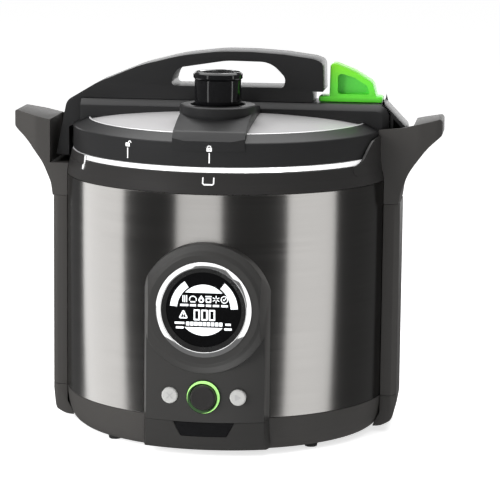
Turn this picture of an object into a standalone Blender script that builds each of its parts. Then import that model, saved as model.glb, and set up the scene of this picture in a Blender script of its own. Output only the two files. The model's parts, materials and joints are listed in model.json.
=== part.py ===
"""Electric pressure canner: a steel drum with a bayonet lid, an arched lid handle and a round display.

Dimensions are millimetres; MM turns them into metres when a mesh is made.
+Z is up, the control panel faces -Y, and the origin is on the floor below the middle of the drum.
"""
import math

import bmesh
import bpy
from mathutils import Matrix, Vector

MM = 0.001
GAP = 0.3                      # clearance between neighbouring pieces
OUTER_STEPS = 40               # facets round the large visible rings
INNER_STEPS = 28               # facets round the inner pieces
SMALL_STEPS = 16               # facets round small turned pieces

# ---- overall ----
WIDTH = 438.1                  # handle tip to handle tip
DEPTH = 368.3                  # knob face to rear housing
HEIGHT = 384.3                 # floor to the top of the lid handle
HALF_WIDTH = WIDTH / 2
HALF_DEPTH = DEPTH / 2

# ---- drum ----
SHELL_R = 165.5
SHELL_WALL = 1.0
BASE_TOP = 37.6
SHELL_TOP = 258.4
BAND_TOP = 279.1
BAND_TOP_R = 161.0
BAND_INNER_R = 153.2
FOOT_HEIGHT = 4.0
FOOT_R = 7.0
FOOT_CIRCLE_R = 146.5
FOOT_ANGLE = 47.5              # from the width axis

# ---- bayonet ----
LUG_COUNT = 6
LUG_PITCH = 360 / LUG_COUNT
RING_GAP_ANGLE = 32.0          # opening between two lugs of the lock ring
LID_LUG_ANGLE = 26.0
LOCK_TOP = 284.2
LOCK_LUG_BOTTOM = 281.0
LOCK_LUG_R = 147.4
LID_LUG_TOP = 280.6
LID_LUG_BOTTOM = 277.5
LID_LUG_R = 152.0
SKIRT_R = 146.4
SKIRT_WALL = 2.0

# ---- lid ----
LID_RING_R = 159.2
LID_RING_BOTTOM = 284.6
LID_RING_TOP = 307.4
DOME_TOP = 324.5
DISC_EDGE_R = 142.9
DISC_EDGE_Z = 315.2
BRIDGE_TOP = 334.0
BRIDGE_HALF = 31.0
BRIDGE_END_X = 166.0
HANDLE_HALF = 23.0
LATCH_HALF = 22.0
WEB_HALF = 2.0                 # the leg's two pockets leave a web between them
REGULATOR_Y = -88.0
REGULATOR_TOP = 370.5
COLLAR_R = 38.0
NOSE_HALF = 35.5
COLLAR_TOP = 338.3
AIR_VENT = (60.0, 90.0)
OVERPRESSURE = (-60.0, 90.0)

# ---- side handles and columns ----
COLUMN_HALF = 35.5
COLUMN_X = 178.2
COLUMN_FACE_X = 173.0          # outer end of the flat front face, before the chamfer
COLUMN_CHAMFER = 10.5
NOTCH_FLOOR = 268.0
NOTCH_FRONT = 31.5             # inner face of the wall that closes the notch on one side
GUARD_END = -COLUMN_HALF - GAP
COLUMN_TOP = 234.5
CAP_TOP = 36.8
CAP_LOW = 5.0

# ---- front ----
PANEL_R = 177.0
PANEL_NOSE_HALF = 53.2         # half widths of the tapered plan, 185 and 150 in front of the middle
PANEL_BACK_HALF = 63.1
PANEL_BOTTOM = 36.0
FRONT_LOW = 7.0
BADGE_LOW = 22.0
BADGE_TOP = PANEL_BOTTOM - 2 * GAP
DISPLAY_Z = 148.5
DISPLAY_FRONT = 181.0          # distance of the display's flat ring from the middle plane
DISPLAY_FLAT_R = 53.8
DISPLAY_FLANK_R = 64.0
DISPLAY_BORE_R = 43.2
BEZEL_R = 47.1
BEZEL_CREST_R = 41.8
LENS_R = 36.4
KNOB_Z = 61.6
KNOB_R = 12.4
LIGHT_RING_R = 16.5
BUTTON_X = 33.5
BUTTON_R = 8.0

# ---- inside ----
POT_INNER_R = 134.0
POT_WALL = 2.5
POT_FLOOR = 67.3
POT_RIM = 275.0
LINER_R = 138.0
HEATER_TOP = 64.0

# ---- lock lever ----
LEVER_WALL_X = 104.3
BOLT_Z = 326.8
CAVITY_LEFT = 96.0


# ------------------------------------------------------------------ scene
for old in list(bpy.data.objects):
    bpy.data.objects.remove(old)
parts = bpy.data.collections.new("pressure_canner")
cutters = bpy.data.collections.new("cutters")
for group in (parts, cutters):
    bpy.context.scene.collection.children.link(group)


def material(name, colour, roughness, metallic=0.0):
    made = bpy.data.materials.new(name)
    made.use_nodes = True
    shader = made.node_tree.nodes["Principled BSDF"]
    shader.inputs["Base Color"].default_value = (*colour, 1.0)
    shader.inputs["Roughness"].default_value = roughness
    shader.inputs["Metallic"].default_value = metallic
    return made


SHELL_STEEL = material("dark_brushed_steel", (0.16, 0.155, 0.15), 0.32, 1.0)
BRIGHT_STEEL = material("bright_steel", (0.78, 0.78, 0.78), 0.22, 1.0)
LID_METAL = material("satin_aluminium", (0.72, 0.71, 0.71), 0.38, 1.0)
CHROME = material("chrome", (0.85, 0.85, 0.85), 0.08, 1.0)
PLASTIC = material("charcoal_plastic", (0.042, 0.040, 0.038), 0.48)
BLACK_PLASTIC = material("black_plastic", (0.015, 0.015, 0.016), 0.38)
GLOSS_BLACK = material("gloss_black", (0.006, 0.006, 0.007), 0.12)
GREEN_PLASTIC = material("green_plastic", (0.16, 0.58, 0.06), 0.42)
GREEN_LIGHT = material("green_light", (0.35, 0.80, 0.20), 0.35)
BUTTON_GREY = material("button_grey", (0.50, 0.50, 0.49), 0.45)
RUBBER = material("black_rubber", (0.020, 0.020, 0.020), 0.85)
SILICONE = material("grey_silicone", (0.45, 0.45, 0.44), 0.60)
ALUMINIUM = material("cast_aluminium", (0.62, 0.62, 0.62), 0.45, 1.0)
SPRING_STEEL = material("spring_steel", (0.60, 0.60, 0.60), 0.30, 1.0)
BOARD_GREEN = material("circuit_board", (0.02, 0.16, 0.06), 0.50)


# ------------------------------------------------------------------ tools
def add(name, mesh, finish):
    """Put a mesh in the scene as a part, or as a cutter when it has no finish."""
    obj = bpy.data.objects.new(name, mesh)
    if finish is None:
        cutters.objects.link(obj)
        obj.hide_render = True
        obj.display_type = "WIRE"
    else:
        parts.objects.link(obj)
        mesh.materials.append(finish)
    return obj


def block(name, low, high, finish=None, bevel=0.0):
    """A box between two corners, with its edges rounded when bevel is given."""
    size = [(b - a) * MM for a, b in zip(low, high)]
    middle = Vector([(a + b) / 2 * MM for a, b in zip(low, high)])
    shape = bmesh.new()
    bmesh.ops.create_cube(shape, size=1.0, matrix=Matrix.Translation(middle) @ Matrix.Diagonal((*size, 1.0)))
    mesh = bpy.data.meshes.new(name)
    shape.to_mesh(mesh)
    shape.free()
    obj = add(name, mesh, finish)
    if bevel:
        round_edges(obj, bevel)
    return obj


def round_edges(obj, width, segments=2, angle=40.0, by_weight=False):
    edge = obj.modifiers.new("rounded_edges", "BEVEL")
    edge.width = width * MM
    edge.segments = segments
    edge.limit_method = "WEIGHT" if by_weight else "ANGLE"
    edge.angle_limit = math.radians(angle)
    return edge


def cylinder(name, radius, start, end, finish=None, steps=SMALL_STEPS, end_radius=None):
    """A round bar (or cone) between two points."""
    start, end = Vector(start) * MM, Vector(end) * MM
    along = end - start
    shape = bmesh.new()
    turn = along.to_track_quat("Z", "Y").to_matrix().to_4x4()
    place = Matrix.Translation((start + end) / 2) @ turn
    tip = radius if end_radius is None else end_radius
    bmesh.ops.create_cone(shape, cap_ends=True, segments=steps, radius1=radius * MM, radius2=tip * MM,
                          depth=along.length, matrix=place)
    mesh = bpy.data.meshes.new(name)
    shape.to_mesh(mesh)
    shape.free()
    return add(name, mesh, finish)


def turned(name, profile, finish=None, steps=OUTER_STEPS, centre=(0, 0, 0), facing_front=False):
    """Revolve (radius, height) points, listed down the outer side and up the inner side.

    A profile that starts and ends on the axis stays open, any other one is closed.
    With facing_front the axis points along -Y, and heights are distances in front of the middle plane.
    """
    count = len(profile)
    closed = not (profile[0][0] == 0 and profile[-1][0] == 0)
    edges = [(i, (i + 1) % count) for i in range(count if closed else count - 1)]
    mesh = bpy.data.meshes.new(name)
    mesh.from_pydata([(r * MM, 0, z * MM) for r, z in profile], edges, [])
    obj = add(name, mesh, finish)
    obj.location = [c * MM for c in centre]
    if facing_front:
        obj.rotation_euler = (math.radians(90), 0, 0)
    screw = obj.modifiers.new("turned", "SCREW")
    screw.steps = steps
    screw.render_steps = steps
    screw.use_merge_vertices = True
    screw.merge_threshold = 0.00001
    return obj


def solid_from_curve(name, curve, rotation, location, finish):
    """Make a closed mesh from a curve and drop the curve."""
    holder = bpy.data.objects.new(name, curve)
    cutters.objects.link(holder)
    holder.rotation_euler = rotation
    holder.location = location
    bpy.context.view_layer.update()
    graph = bpy.context.evaluated_depsgraph_get()
    mesh = bpy.data.meshes.new_from_object(holder.evaluated_get(graph))
    place = holder.matrix_world.copy()
    bpy.data.objects.remove(holder)
    shape = bmesh.new()
    shape.from_mesh(mesh)
    bmesh.ops.remove_doubles(shape, verts=shape.verts, dist=0.000005)
    bmesh.ops.dissolve_limit(shape, angle_limit=math.radians(0.5), verts=shape.verts, edges=shape.edges)
    bmesh.ops.recalc_face_normals(shape, faces=shape.faces)
    shape.transform(place)
    shape.to_mesh(mesh)
    shape.free()
    mesh.name = name
    return add(name, mesh, finish)


PLANES = {
    "XY": (0, 0, 0),
    "XZ": (math.radians(90), 0, 0),
    "YZ": (math.radians(90), 0, math.radians(90)),
}


def prism(name, outlines, low, high, plane="XZ", finish=None):
    """Extrude flat outlines between two heights along the plane's normal; inner outlines are holes."""
    curve = bpy.data.curves.new(name, "CURVE")
    curve.dimensions = "2D"
    curve.fill_mode = "BOTH"
    curve.extrude = (high - low) / 2 * MM
    for outline in outlines:
        spline = curve.splines.new("POLY")
        spline.points.add(len(outline) - 1)
        for point, (u, v) in zip(spline.points, outline):
            point.co = (u * MM, v * MM, 0, 1)
        spline.use_cyclic_u = True
    middle = (low + high) / 2 * MM
    location = {"XY": (0, 0, middle), "XZ": (0, middle, 0), "YZ": (middle, 0, 0)}[plane]
    return solid_from_curve(name, curve, PLANES[plane], location, finish)


def rounded(points, default=0.0, steps=4):
    """Replace each corner (u, v, radius) by an arc; a corner without a radius takes the default."""
    outline = []
    count = len(points)
    for i, corner in enumerate(points):
        here = Vector(corner[:2])
        radius = corner[2] if len(corner) > 2 else default
        before = Vector(points[i - 1][:2]) - here
        after = Vector(points[(i + 1) % count][:2]) - here
        if radius <= 0:
            outline.append(tuple(here))
            continue
        half = before.angle(after) / 2
        reach = min(radius / math.tan(half), 0.49 * before.length, 0.49 * after.length)
        radius = reach * math.tan(half)
        first = here + before.normalized() * reach
        centre = here + (before.normalized() + after.normalized()).normalized() * (radius / math.sin(half))
        sweep = (here + after.normalized() * reach - centre)
        start = first - centre
        turn = start.angle_signed(sweep)
        for k in range(steps + 1):
            angle = -turn * k / steps
            c, s = math.cos(angle), math.sin(angle)
            outline.append((centre.x + c * start.x - s * start.y, centre.y + s * start.x + c * start.y))
    return outline


def circle(cx, cy, radius, steps=SMALL_STEPS):
    turns = [2 * math.pi * k / steps for k in range(steps)]
    return [(cx + radius * math.cos(t), cy + radius * math.sin(t)) for t in turns]


def sector(middle, width, inner, outer, steps=6):
    """A flat ring sector centred on an angle, in degrees."""
    start = math.radians(middle - width / 2)
    angles = [start + math.radians(width) * k / steps for k in range(steps + 1)]
    far = [(outer * math.cos(a), outer * math.sin(a)) for a in angles]
    near = [(inner * math.cos(a), inner * math.sin(a)) for a in reversed(angles)]
    return far + near


def boolean(obj, tool, operation):
    step = obj.modifiers.new(tool.name, "BOOLEAN")
    step.operation = operation
    step.solver = "EXACT"
    step.object = tool


def cut(obj, *tools):
    for tool in tools:
        boolean(obj, tool, "DIFFERENCE")


def keep(obj, tool):
    boolean(obj, tool, "INTERSECT")


def join(obj, *others):
    for other in others:
        boolean(obj, other, "UNION")


def coil(name, radius, wire, start, end, turns, finish, points_per_turn=8):
    """A helical spring between two points, its axis along the line that joins them."""
    start, end = Vector(start), Vector(end)
    along = end - start
    turn = along.to_track_quat("Z", "Y")
    curve = bpy.data.curves.new(name, "CURVE")
    curve.dimensions = "3D"
    curve.bevel_depth = wire * MM
    curve.bevel_resolution = 1
    curve.use_fill_caps = True
    spline = curve.splines.new("POLY")
    count = turns * points_per_turn
    spline.points.add(count)
    for k in range(count + 1):
        angle = 2 * math.pi * k / points_per_turn
        height = wire + (along.length - 2 * wire) * k / count
        offset = turn @ Vector((radius * math.cos(angle), radius * math.sin(angle), height))
        spline.points[k].co = (*((start + offset) * MM), 1)
    return solid_from_curve(name, curve, (0, 0, 0), (0, 0, 0), finish)


# ------------------------------------------------------------------ shared profiles and cutters
BASE_OUTSIDE = [(165.2, BASE_TOP), (164.6, 28.0), (162.4, 16.0), (158.8, 8.0), (154.0, FOOT_HEIGHT + GAP)]
DOME = [(0, DOME_TOP), (60, 322.9), (110, 318.9), (140, 314.2), (145.0, 310.5), (SKIRT_R, 306.0)]

# everything of the body that the side pieces fit round
body_envelope = turned("body_envelope", [
    (0, 400), (LID_RING_R + 0.7, 400), (LID_RING_R + 0.7, 286.0), (BAND_TOP_R + 0.4, BAND_TOP),
    (164.5, 268.5), (165.75, 260.8), (SHELL_R + GAP + 0.1, 258.0), (SHELL_R + GAP, 20.0), (162.8, 14.0), (159.3, 7.0),
    (155.0, -10.0), (0, -10.0)])

# everything of the lid that the bridge, the handle and the nose sit on
lid_envelope = turned("lid_envelope", [
    (0, DOME_TOP + 0.4), (60, 323.3), (110, 319.3), (139, DISC_EDGE_Z + 0.4), (144.4, DISC_EDGE_Z + 0.5),
    (LID_RING_R + 0.4, LID_RING_TOP + 0.4), (LID_RING_R + 0.4, 240.0), (0, 240.0)])


# ------------------------------------------------------------------ drum
def make_drum():
    shell_inner = SHELL_R - SHELL_WALL
    shell_bottom = BASE_TOP + GAP
    shell = turned("outer_shell", [(SHELL_R, SHELL_TOP), (SHELL_R, shell_bottom),
                                   (shell_inner, shell_bottom), (shell_inner, SHELL_TOP)], SHELL_STEEL)
    cut(shell, cylinder("front_cable_hole", 10.0, (0, -180, 100), (0, -150, 100)))
    cut(shell, cylinder("rear_cable_hole", 10.0, (0, 150, 80), (0, 180, 80)))

    turned("base_ring", BASE_OUTSIDE + [(146.0, FOOT_HEIGHT + GAP), (146.0, 7.3), (155.4, 7.3),
                                        (161.4, 26.0), (162.2, BASE_TOP)], PLASTIC)

    plate = turned("base_plate", [(0, 9.1), (154.0, 9.1), (154.0, 7.6), (0, 7.6)], BRIGHT_STEEL)
    vents = [circle(62 * math.cos(a), 62 * math.sin(a), 6.0, 6)
             for a in (math.radians(30 + 60 * k) for k in range(6))]
    cut(plate, prism("base_vents", vents, 5, 12, "XY"))

    for number in range(4):
        angle = math.radians((FOOT_ANGLE - 180, -FOOT_ANGLE, FOOT_ANGLE, 180 - FOOT_ANGLE)[number])
        x, y = FOOT_CIRCLE_R * math.cos(angle), FOOT_CIRCLE_R * math.sin(angle)
        cylinder(f"foot_{number + 1}", FOOT_R - 1.0, (x, y, 0), (x, y, FOOT_HEIGHT), RUBBER, 12, FOOT_R)
        angle = math.radians(45 + 90 * number)
        x, y = 110 * math.cos(angle), 110 * math.sin(angle)
        cylinder(f"base_screw_{number + 1}", 4.0, (x, y, 5.2), (x, y, 7.3), BRIGHT_STEEL, 8)

    band = turned("top_band", [(BAND_TOP_R, BAND_TOP), (164.0, 268.5), (165.2, 261.0), (165.4, SHELL_TOP + GAP),
                               (162.6, SHELL_TOP + GAP), (160.8, 267.5), (143.0, 267.5), (143.0, 270.9),
                               (BAND_INNER_R, 270.9), (BAND_INNER_R, BAND_TOP)], BLACK_PLASTIC)
    # the band sweeps up beside the right handle, outside the lid
    guard = turned("band_guard", [(162.2, 304.0), (162.6, BAND_TOP), (164.0, 269.0), (158.0, 269.5), (158.0, 277.5),
                                  (161.0, BAND_TOP + 0.1), (161.0, 284.6), (160.2, 286.0), (160.2, 304.0)], None, 60)
    sweep = rounded([(-90, 272), (-90, 279.3), (-84, 279.5, 8), (-74, 284.2, 12), (-65.5, 293.2, 20), (-51.5, 301.6, 12),
                     (GUARD_END, 303.4), (GUARD_END, 265), (-80, 265)], steps=3)
    keep(guard, prism("guard_sweep", [sweep], 120, 190, "YZ"))
    join(band, guard)

    lock = turned("lock_ring", [(159.3, LOCK_TOP), (160.65, BAND_TOP + GAP), (153.0, BAND_TOP + GAP),
                                (153.0, LOCK_LUG_BOTTOM), (LOCK_LUG_R, LOCK_LUG_BOTTOM),
                                (LOCK_LUG_R, LOCK_TOP)], BRIGHT_STEEL)
    gaps = [sector(LUG_PITCH * (k + 0.5), RING_GAP_ANGLE, 140.0, 152.6) for k in range(LUG_COUNT)]
    cut(lock, prism("lock_ring_gaps", gaps, 280.2, 290.0, "XY"))


def side_handle(name, notch_wall):
    """The right-hand handle: a flared grip with a notch for the lid, closed by a wall at the front."""
    side = rounded([(150, COLUMN_TOP + GAP), (COLUMN_X - 1.0, COLUMN_TOP + GAP), (179.0, 248.0, 30), (187.6, 268.5, 60),
                    (204.5, 291.5, 80), (HALF_WIDTH, 304.0, 4), (HALF_WIDTH, 321.0, 3), (199, 316.6, 60),
                    (178, 311.8, 30), (150, 309.0)], steps=3)
    grip = prism(name, [side], -COLUMN_HALF, COLUMN_HALF, "XZ", PLASTIC)
    plan = rounded([(140, -COLUMN_HALF), (196, -COLUMN_HALF, 20), (HALF_WIDTH + 1, -25, 14),
                    (HALF_WIDTH + 1, 25, 14), (196, COLUMN_HALF, 20), (140, COLUMN_HALF)], steps=3)
    keep(grip, prism(name + "_plan", [plan], 200, 340, "XY"))
    cut(grip, body_envelope)
    cut(grip, block(name + "_notch", (140, -NOTCH_FRONT, NOTCH_FLOOR), (notch_wall, 60, 340)))
    return grip


def column_outline(inset=0.0):
    half = COLUMN_HALF - inset
    outer = COLUMN_X - inset
    face = COLUMN_FACE_X - inset / 2
    return [(145, -half), (face, -half), (outer, -half + COLUMN_CHAMFER), (outer, half - COLUMN_CHAMFER),
            (face, half), (145, half)]


def make_sides():
    for side, notch_wall in (("right", 190.6), ("left", 180.0)):
        grip = side_handle(f"side_handle_{side}", notch_wall)
        cover = prism(f"column_cover_{side}", [column_outline()], CAP_TOP + GAP, COLUMN_TOP, "XY", PLASTIC)
        hollow = prism(f"column_hollow_{side}", [column_outline(2.5)], CAP_TOP - 10, COLUMN_TOP + 10, "XY")
        cut(cover, hollow, body_envelope)
        cap_side = rounded([(145, CAP_LOW), (163, CAP_LOW + 0.6, 20), (174.6, 12.0, 10), (COLUMN_X + 1, CAP_TOP),
                            (145, CAP_TOP)], steps=3)
        cap = prism(f"foot_cap_{side}", [cap_side], -40, 40, "XZ", PLASTIC)
        keep(cap, prism(f"cap_plan_{side}", [column_outline()], 0, 60, "XY"))
        cap_hollow = prism(f"cap_hollow_{side}", [column_outline(2.5)], 22.0, 60.0, "XY")
        cut(cap, cap_hollow, body_envelope)
        if side == "left":
            for obj in (grip, cover, cap):
                mirror_to_left(obj)


def mirror_to_left(obj):
    """Bake a right-hand piece and turn it half way round the drum."""
    bpy.context.view_layer.update()
    graph = bpy.context.evaluated_depsgraph_get()
    baked = bpy.data.meshes.new_from_object(obj.evaluated_get(graph))
    baked.transform(Matrix.Rotation(math.pi, 4, "Z"))
    obj.modifiers.clear()
    obj.data = baked


# ------------------------------------------------------------------ front
def make_front():
    tall = turned("front_panel", [(PANEL_R, DISPLAY_Z), (PANEL_R, PANEL_BOTTOM),
                                  (160.0, PANEL_BOTTOM), (160.0, DISPLAY_Z)], PLASTIC)
    plan = [(-PANEL_BACK_HALF, -150), (-PANEL_NOSE_HALF, -185), (PANEL_NOSE_HALF, -185), (PANEL_BACK_HALF, -150)]
    # hollow behind the face for the board, and a round opening where the dial goes
    pocket = turned("panel_pocket", [(0, 81.0), (PANEL_R - 2.6, 81.0), (PANEL_R - 2.6, 39.0), (0, 39.0)])
    keep(pocket, prism("panel_pocket_plan", [[(-52, -190), (52, -190), (52, -140), (-52, -140)]], 0, 200, "XY"))
    cut(tall, cylinder("dial_footprint", 56.5, (0, -190, DISPLAY_Z), (0, -140, DISPLAY_Z), None, 30), pocket)
    dial = turned("panel_dial", [(DISPLAY_FLAT_R, DISPLAY_FRONT), (57.5, 178.9), (DISPLAY_FLANK_R, 177.3),
                                 (DISPLAY_FLANK_R + 0.2, 140.0), (51.5, 140.0), (51.5, DISPLAY_FRONT - 2.6),
                                 (DISPLAY_BORE_R + 0.4, DISPLAY_FRONT - 2.6), (DISPLAY_BORE_R + 0.4, DISPLAY_FRONT)],
                  None, 38, (0, 0, DISPLAY_Z), True)
    join(tall, dial)
    keep(tall, prism("panel_plan", [plan], 0, 240, "XY"))
    cut(tall, turned("panel_drum_side", [(0, 300), (SHELL_R + GAP, 300), (SHELL_R + GAP, 10), (0, 10)]))
    holes = [circle(0, KNOB_Z, 6.0, 12), circle(BUTTON_X, KNOB_Z, BUTTON_R + 0.5),
             circle(-BUTTON_X, KNOB_Z, BUTTON_R + 0.5)]
    cut(tall, prism("panel_holes", holes, -190, -168, "XZ"))
    # round seat of the lit ring
    cut(tall, cylinder("light_ring_seat", LIGHT_RING_R + 0.4, (0, -190, KNOB_Z), (0, -175.6, KNOB_Z), None, 20))

    base_top = PANEL_BOTTOM - GAP
    lower = turned("base_front", [(PANEL_R, base_top), (176.6, 20.0), (174.6, 12.0), (171.0, FRONT_LOW),
                                  (158.6, FRONT_LOW), (162.9, 15.4), (165.0, 27.0), (SHELL_R + GAP, base_top)],
                   PLASTIC)
    keep(lower, prism("base_front_plan", [plan], 0, 60, "XY"))
    badge_outline = [(-22.7, BADGE_LOW - 0.5), (22.7, BADGE_LOW - 0.5), (31.0, base_top + 1), (-31.0, base_top + 1)]
    seat = turned("badge_seat", [(190, 40), (190, 15), (175.1, 15.0), (175.4, 40)], None, 36)
    keep(seat, prism("badge_seat_outline", [badge_outline], -190, -160, "XZ"))
    cut(lower, seat)
    badge = turned("badge_plate", [(PANEL_R - 0.1, BADGE_TOP), (176.5, BADGE_LOW), (175.4, BADGE_LOW),
                                   (175.8, BADGE_TOP)], GLOSS_BLACK)
    inner_outline = [(-22.3, BADGE_LOW), (22.3, BADGE_LOW), (29.6, BADGE_TOP), (-29.6, BADGE_TOP)]
    keep(badge, prism("badge_outline", [inner_outline], -190, -160, "XZ"))

    display = (0, 0, DISPLAY_Z)
    turned("display_bezel", [(BEZEL_CREST_R, 184.0), (BEZEL_R, 181.7), (BEZEL_R, DISPLAY_FRONT + GAP),
                             (DISPLAY_BORE_R, DISPLAY_FRONT + GAP), (DISPLAY_BORE_R, 177.0), (LENS_R + GAP, 177.0),
                             (LENS_R + GAP, 180.6)], CHROME, 36, display, True)
    turned("display_lens", [(0, 180.0), (LENS_R, 180.0), (LENS_R, 177.6), (0, 177.6)], GLOSS_BLACK, 36, display, True)
    block("display_module", (-30, -176.5, DISPLAY_Z - 28), (30, -171.5, DISPLAY_Z + 28), GLOSS_BLACK)
    block("control_board", (-43, -167.5, 40), (43, -166.1, 79), BOARD_GREEN)

    knob = (0, 0, KNOB_Z)
    turned("knob_light_ring", [(13.6, 178.6), (15.9, 178.6), (LIGHT_RING_R, 178.0), (LIGHT_RING_R, 176.0), (13.3, 176.0),
                               (13.3, 178.2)], GREEN_LIGHT, 20, knob, True)
    turned("control_knob", [(0, HALF_DEPTH), (10.8, HALF_DEPTH), (KNOB_R, HALF_DEPTH - 1.6), (KNOB_R + 0.4, 177.6),
                            (4.5, 177.6), (4.5, 173.6), (0, 173.6)], BLACK_PLASTIC, 20, knob, True)
    block("rotary_encoder", (-6, -173.2, KNOB_Z - 6), (6, -167.8, KNOB_Z + 6), BRIGHT_STEEL)
    for name, x in (("cancel_button", -BUTTON_X), ("start_button", BUTTON_X)):
        turned(name, [(0, 176.4), (BUTTON_R - 1.2, 176.4), (BUTTON_R, 175.4), (BUTTON_R, 171.0), (0, 171.0)], BUTTON_GREY,
               SMALL_STEPS, (x, 0, KNOB_Z), True)


def make_rear():
    outline = rounded([(-40, 42, 6), (40, 42, 6), (40, 118, 10), (-40, 118, 10)], steps=3)
    housing = prism("rear_housing", [outline], 150, HALF_DEPTH, "XZ", PLASTIC)
    round_edges(housing, 3.0, 2, 60)
    cut(housing, body_envelope)
    cut(housing, block("rear_housing_hollow", (-37, 140, 45), (37, HALF_DEPTH - 2.5, 115)))
    cut(housing, block("inlet_window", (-14, 170, 68), (14, 190, 92)))
    inlet = block("power_inlet", (-13.6, 169.2, 68.4), (13.6, HALF_DEPTH - 0.4, 91.6), BLACK_PLASTIC)
    cut(inlet, block("inlet_recess", (-11.4, 172.5, 70.6), (11.4, 190, 89.4)))


# ------------------------------------------------------------------ inside
def make_inside():
    wall = 1.2
    liner_out = LINER_R + wall
    turned("liner", [(12.0, 47.2), (LINER_R - 6, 47.2), (LINER_R, 53.0), (LINER_R, 272.4), (152.4, 272.4),
                     (152.4, 271.2), (liner_out, 271.2), (liner_out, 52.0), (LINER_R - 5, 46.0), (12.0, 46.0)],
           BRIGHT_STEEL, INNER_STEPS)
    turned("heater_plate", [(128, HEATER_TOP), (128, 47.5), (98.5, 47.5), (98.5, 56.0), (89.5, 56.0), (89.5, 47.5),
                            (14.0, 47.5), (14.0, HEATER_TOP)], ALUMINIUM, INNER_STEPS)
    ring = [(94 + 3.6 * math.cos(a), 51.8 - 3.6 * math.sin(a)) for a in (math.radians(60 * k) for k in range(6))]
    turned("heating_element", ring, SPRING_STEEL, INNER_STEPS)
    turned("temperature_sensor", [(0, 63.9), (11.5, 63.9), (12.5, 62.9), (12.5, 60.5), (5.0, 60.5), (5.0, 50.0),
                                  (0, 50.0)], BRIGHT_STEEL, SMALL_STEPS)
    turned("sensor_seat", [(0, 46.9), (11.4, 46.9), (11.4, 43.0), (0, 43.0)], BLACK_PLASTIC, SMALL_STEPS)
    coil("sensor_spring", 8.0, 0.7, (0, 0, 47.3), (0, 0, 60.2), 4, SPRING_STEEL)

    outer = POT_INNER_R + POT_WALL
    floor_bottom = POT_FLOOR - 3.0
    turned("canning_pot", [(0, POT_FLOOR), (POT_INNER_R - 6, POT_FLOOR), (POT_INNER_R, POT_FLOOR + 6),
                           (POT_INNER_R, POT_RIM), (143.5, POT_RIM), (143.5, 272.7), (outer, 272.7),
                           (outer, POT_FLOOR + 5), (outer - 8, floor_bottom), (0, floor_bottom)],
           ALUMINIUM, INNER_STEPS)
    rack = turned("canning_rack", [(127.0, 77.0), (127.0, POT_FLOOR + GAP), (125.6, POT_FLOOR + GAP), (125.6, 75.6),
                                   (16.0, 75.6), (16.0, 77.0)], BRIGHT_STEEL, INNER_STEPS)
    holes = [circle(r * math.cos(a), r * math.sin(a), 9.0, 8)
             for r, n in ((48, 4), (92, 6)) for a in (2 * math.pi * k / n for k in range(n))]
    cut(rack, prism("rack_holes", holes, 70, 90, "XY"))
    block("power_board", (-50, 10, 16), (50, 80, 17.6), BOARD_GREEN)


# ------------------------------------------------------------------ lid
def make_lid():
    inner = SKIRT_R - SKIRT_WALL
    disc = turned("lid_disc", DOME + [(SKIRT_R, LID_LUG_TOP), (LID_LUG_R, LID_LUG_TOP), (LID_LUG_R, LID_LUG_BOTTOM),
                                      (inner, LID_LUG_BOTTOM), (inner, 305.5), (142.8, 308.6), (138.6, 311.6),
                                      (109.5, 316.4), (0, 322.0)], LID_METAL)
    gaps = [sector(LUG_PITCH * (k + 0.5), LUG_PITCH - LID_LUG_ANGLE, SKIRT_R + 0.4, 160.0)
            for k in range(LUG_COUNT)]
    cut(disc, prism("lid_lug_gaps", gaps, 270, 284, "XY"))
    holes = [circle(0, REGULATOR_Y, 5.6, 16), circle(*AIR_VENT, 6.6, 16), circle(*OVERPRESSURE, 7.0, 16)]
    cut(disc, prism("lid_holes", holes, 300, 330, "XY"))

    turned("lid_ring", [(144.2, DISC_EDGE_Z), (158.4, 308.2), (LID_RING_R, LID_RING_TOP),
                        (LID_RING_R, LID_RING_BOTTOM), (156.4, LID_RING_BOTTOM), (156.4, 305.6), (147.2, 310.4),
                        (144.9, 312.3), (143.1, 313.2), (DISC_EDGE_R, DISC_EDGE_Z - 0.3)], BLACK_PLASTIC)

    make_bridge()
    make_arch()
    make_latch()
    make_regulator()

    turned("sealing_ring", [(143.8, 286.0), (143.8, 276.6), (142.4, POT_RIM + GAP), (134.6, POT_RIM + GAP),
                            (134.6, 278.0), (139.5, 280.0), (139.5, 286.0)], SILICONE, INNER_STEPS)
    turned("gasket_holder", [(143.6, 287.6), (143.6, 286.4), (134.0, 286.4), (134.0, 281.0), (132.8, 281.0),
                             (132.8, 287.6)], BRIGHT_STEEL, INNER_STEPS)

    x, y = OVERPRESSURE
    turned("overpressure_plug", [(0, 323.4), (7.5, 323.4), (10.0, 320.6), (6.6, 320.4), (6.6, 315.2), (8.6, 315.0),
                                 (7.6, 311.6), (0, 311.6)], RUBBER, 16, (x, y, 0))
    x, y = AIR_VENT
    turned("air_vent_gasket", [(8.4, 321.2), (8.4, 320.4), (6.1, 320.4), (6.1, 315.2), (8.2, 315.0), (8.2, 312.2),
                               (4.2, 312.2), (4.2, 321.2)], RUBBER, 16, (x, y, 0))
    turned("air_vent_pin", [(0, 323.8), (5.2, 323.8), (5.6, 323.2), (5.6, 321.5), (3.7, 321.5), (3.7, 307.8),
                            (7.0, 307.8), (7.0, 305.6), (0, 305.6)], BRIGHT_STEEL, 16, (x, y, 0))


def weigh_edges(obj, chosen):
    """Give full bevel weight to the edges whose middle passes the test, in millimetres."""
    shape = bmesh.new()
    shape.from_mesh(obj.data)
    layer = shape.edges.layers.float.new("bevel_weight_edge")
    for edge in shape.edges:
        first, second = (v.co / MM for v in edge.verts)
        if chosen(first, second):
            edge[layer] = 1.0
    shape.to_mesh(obj.data)
    shape.free()


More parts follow.
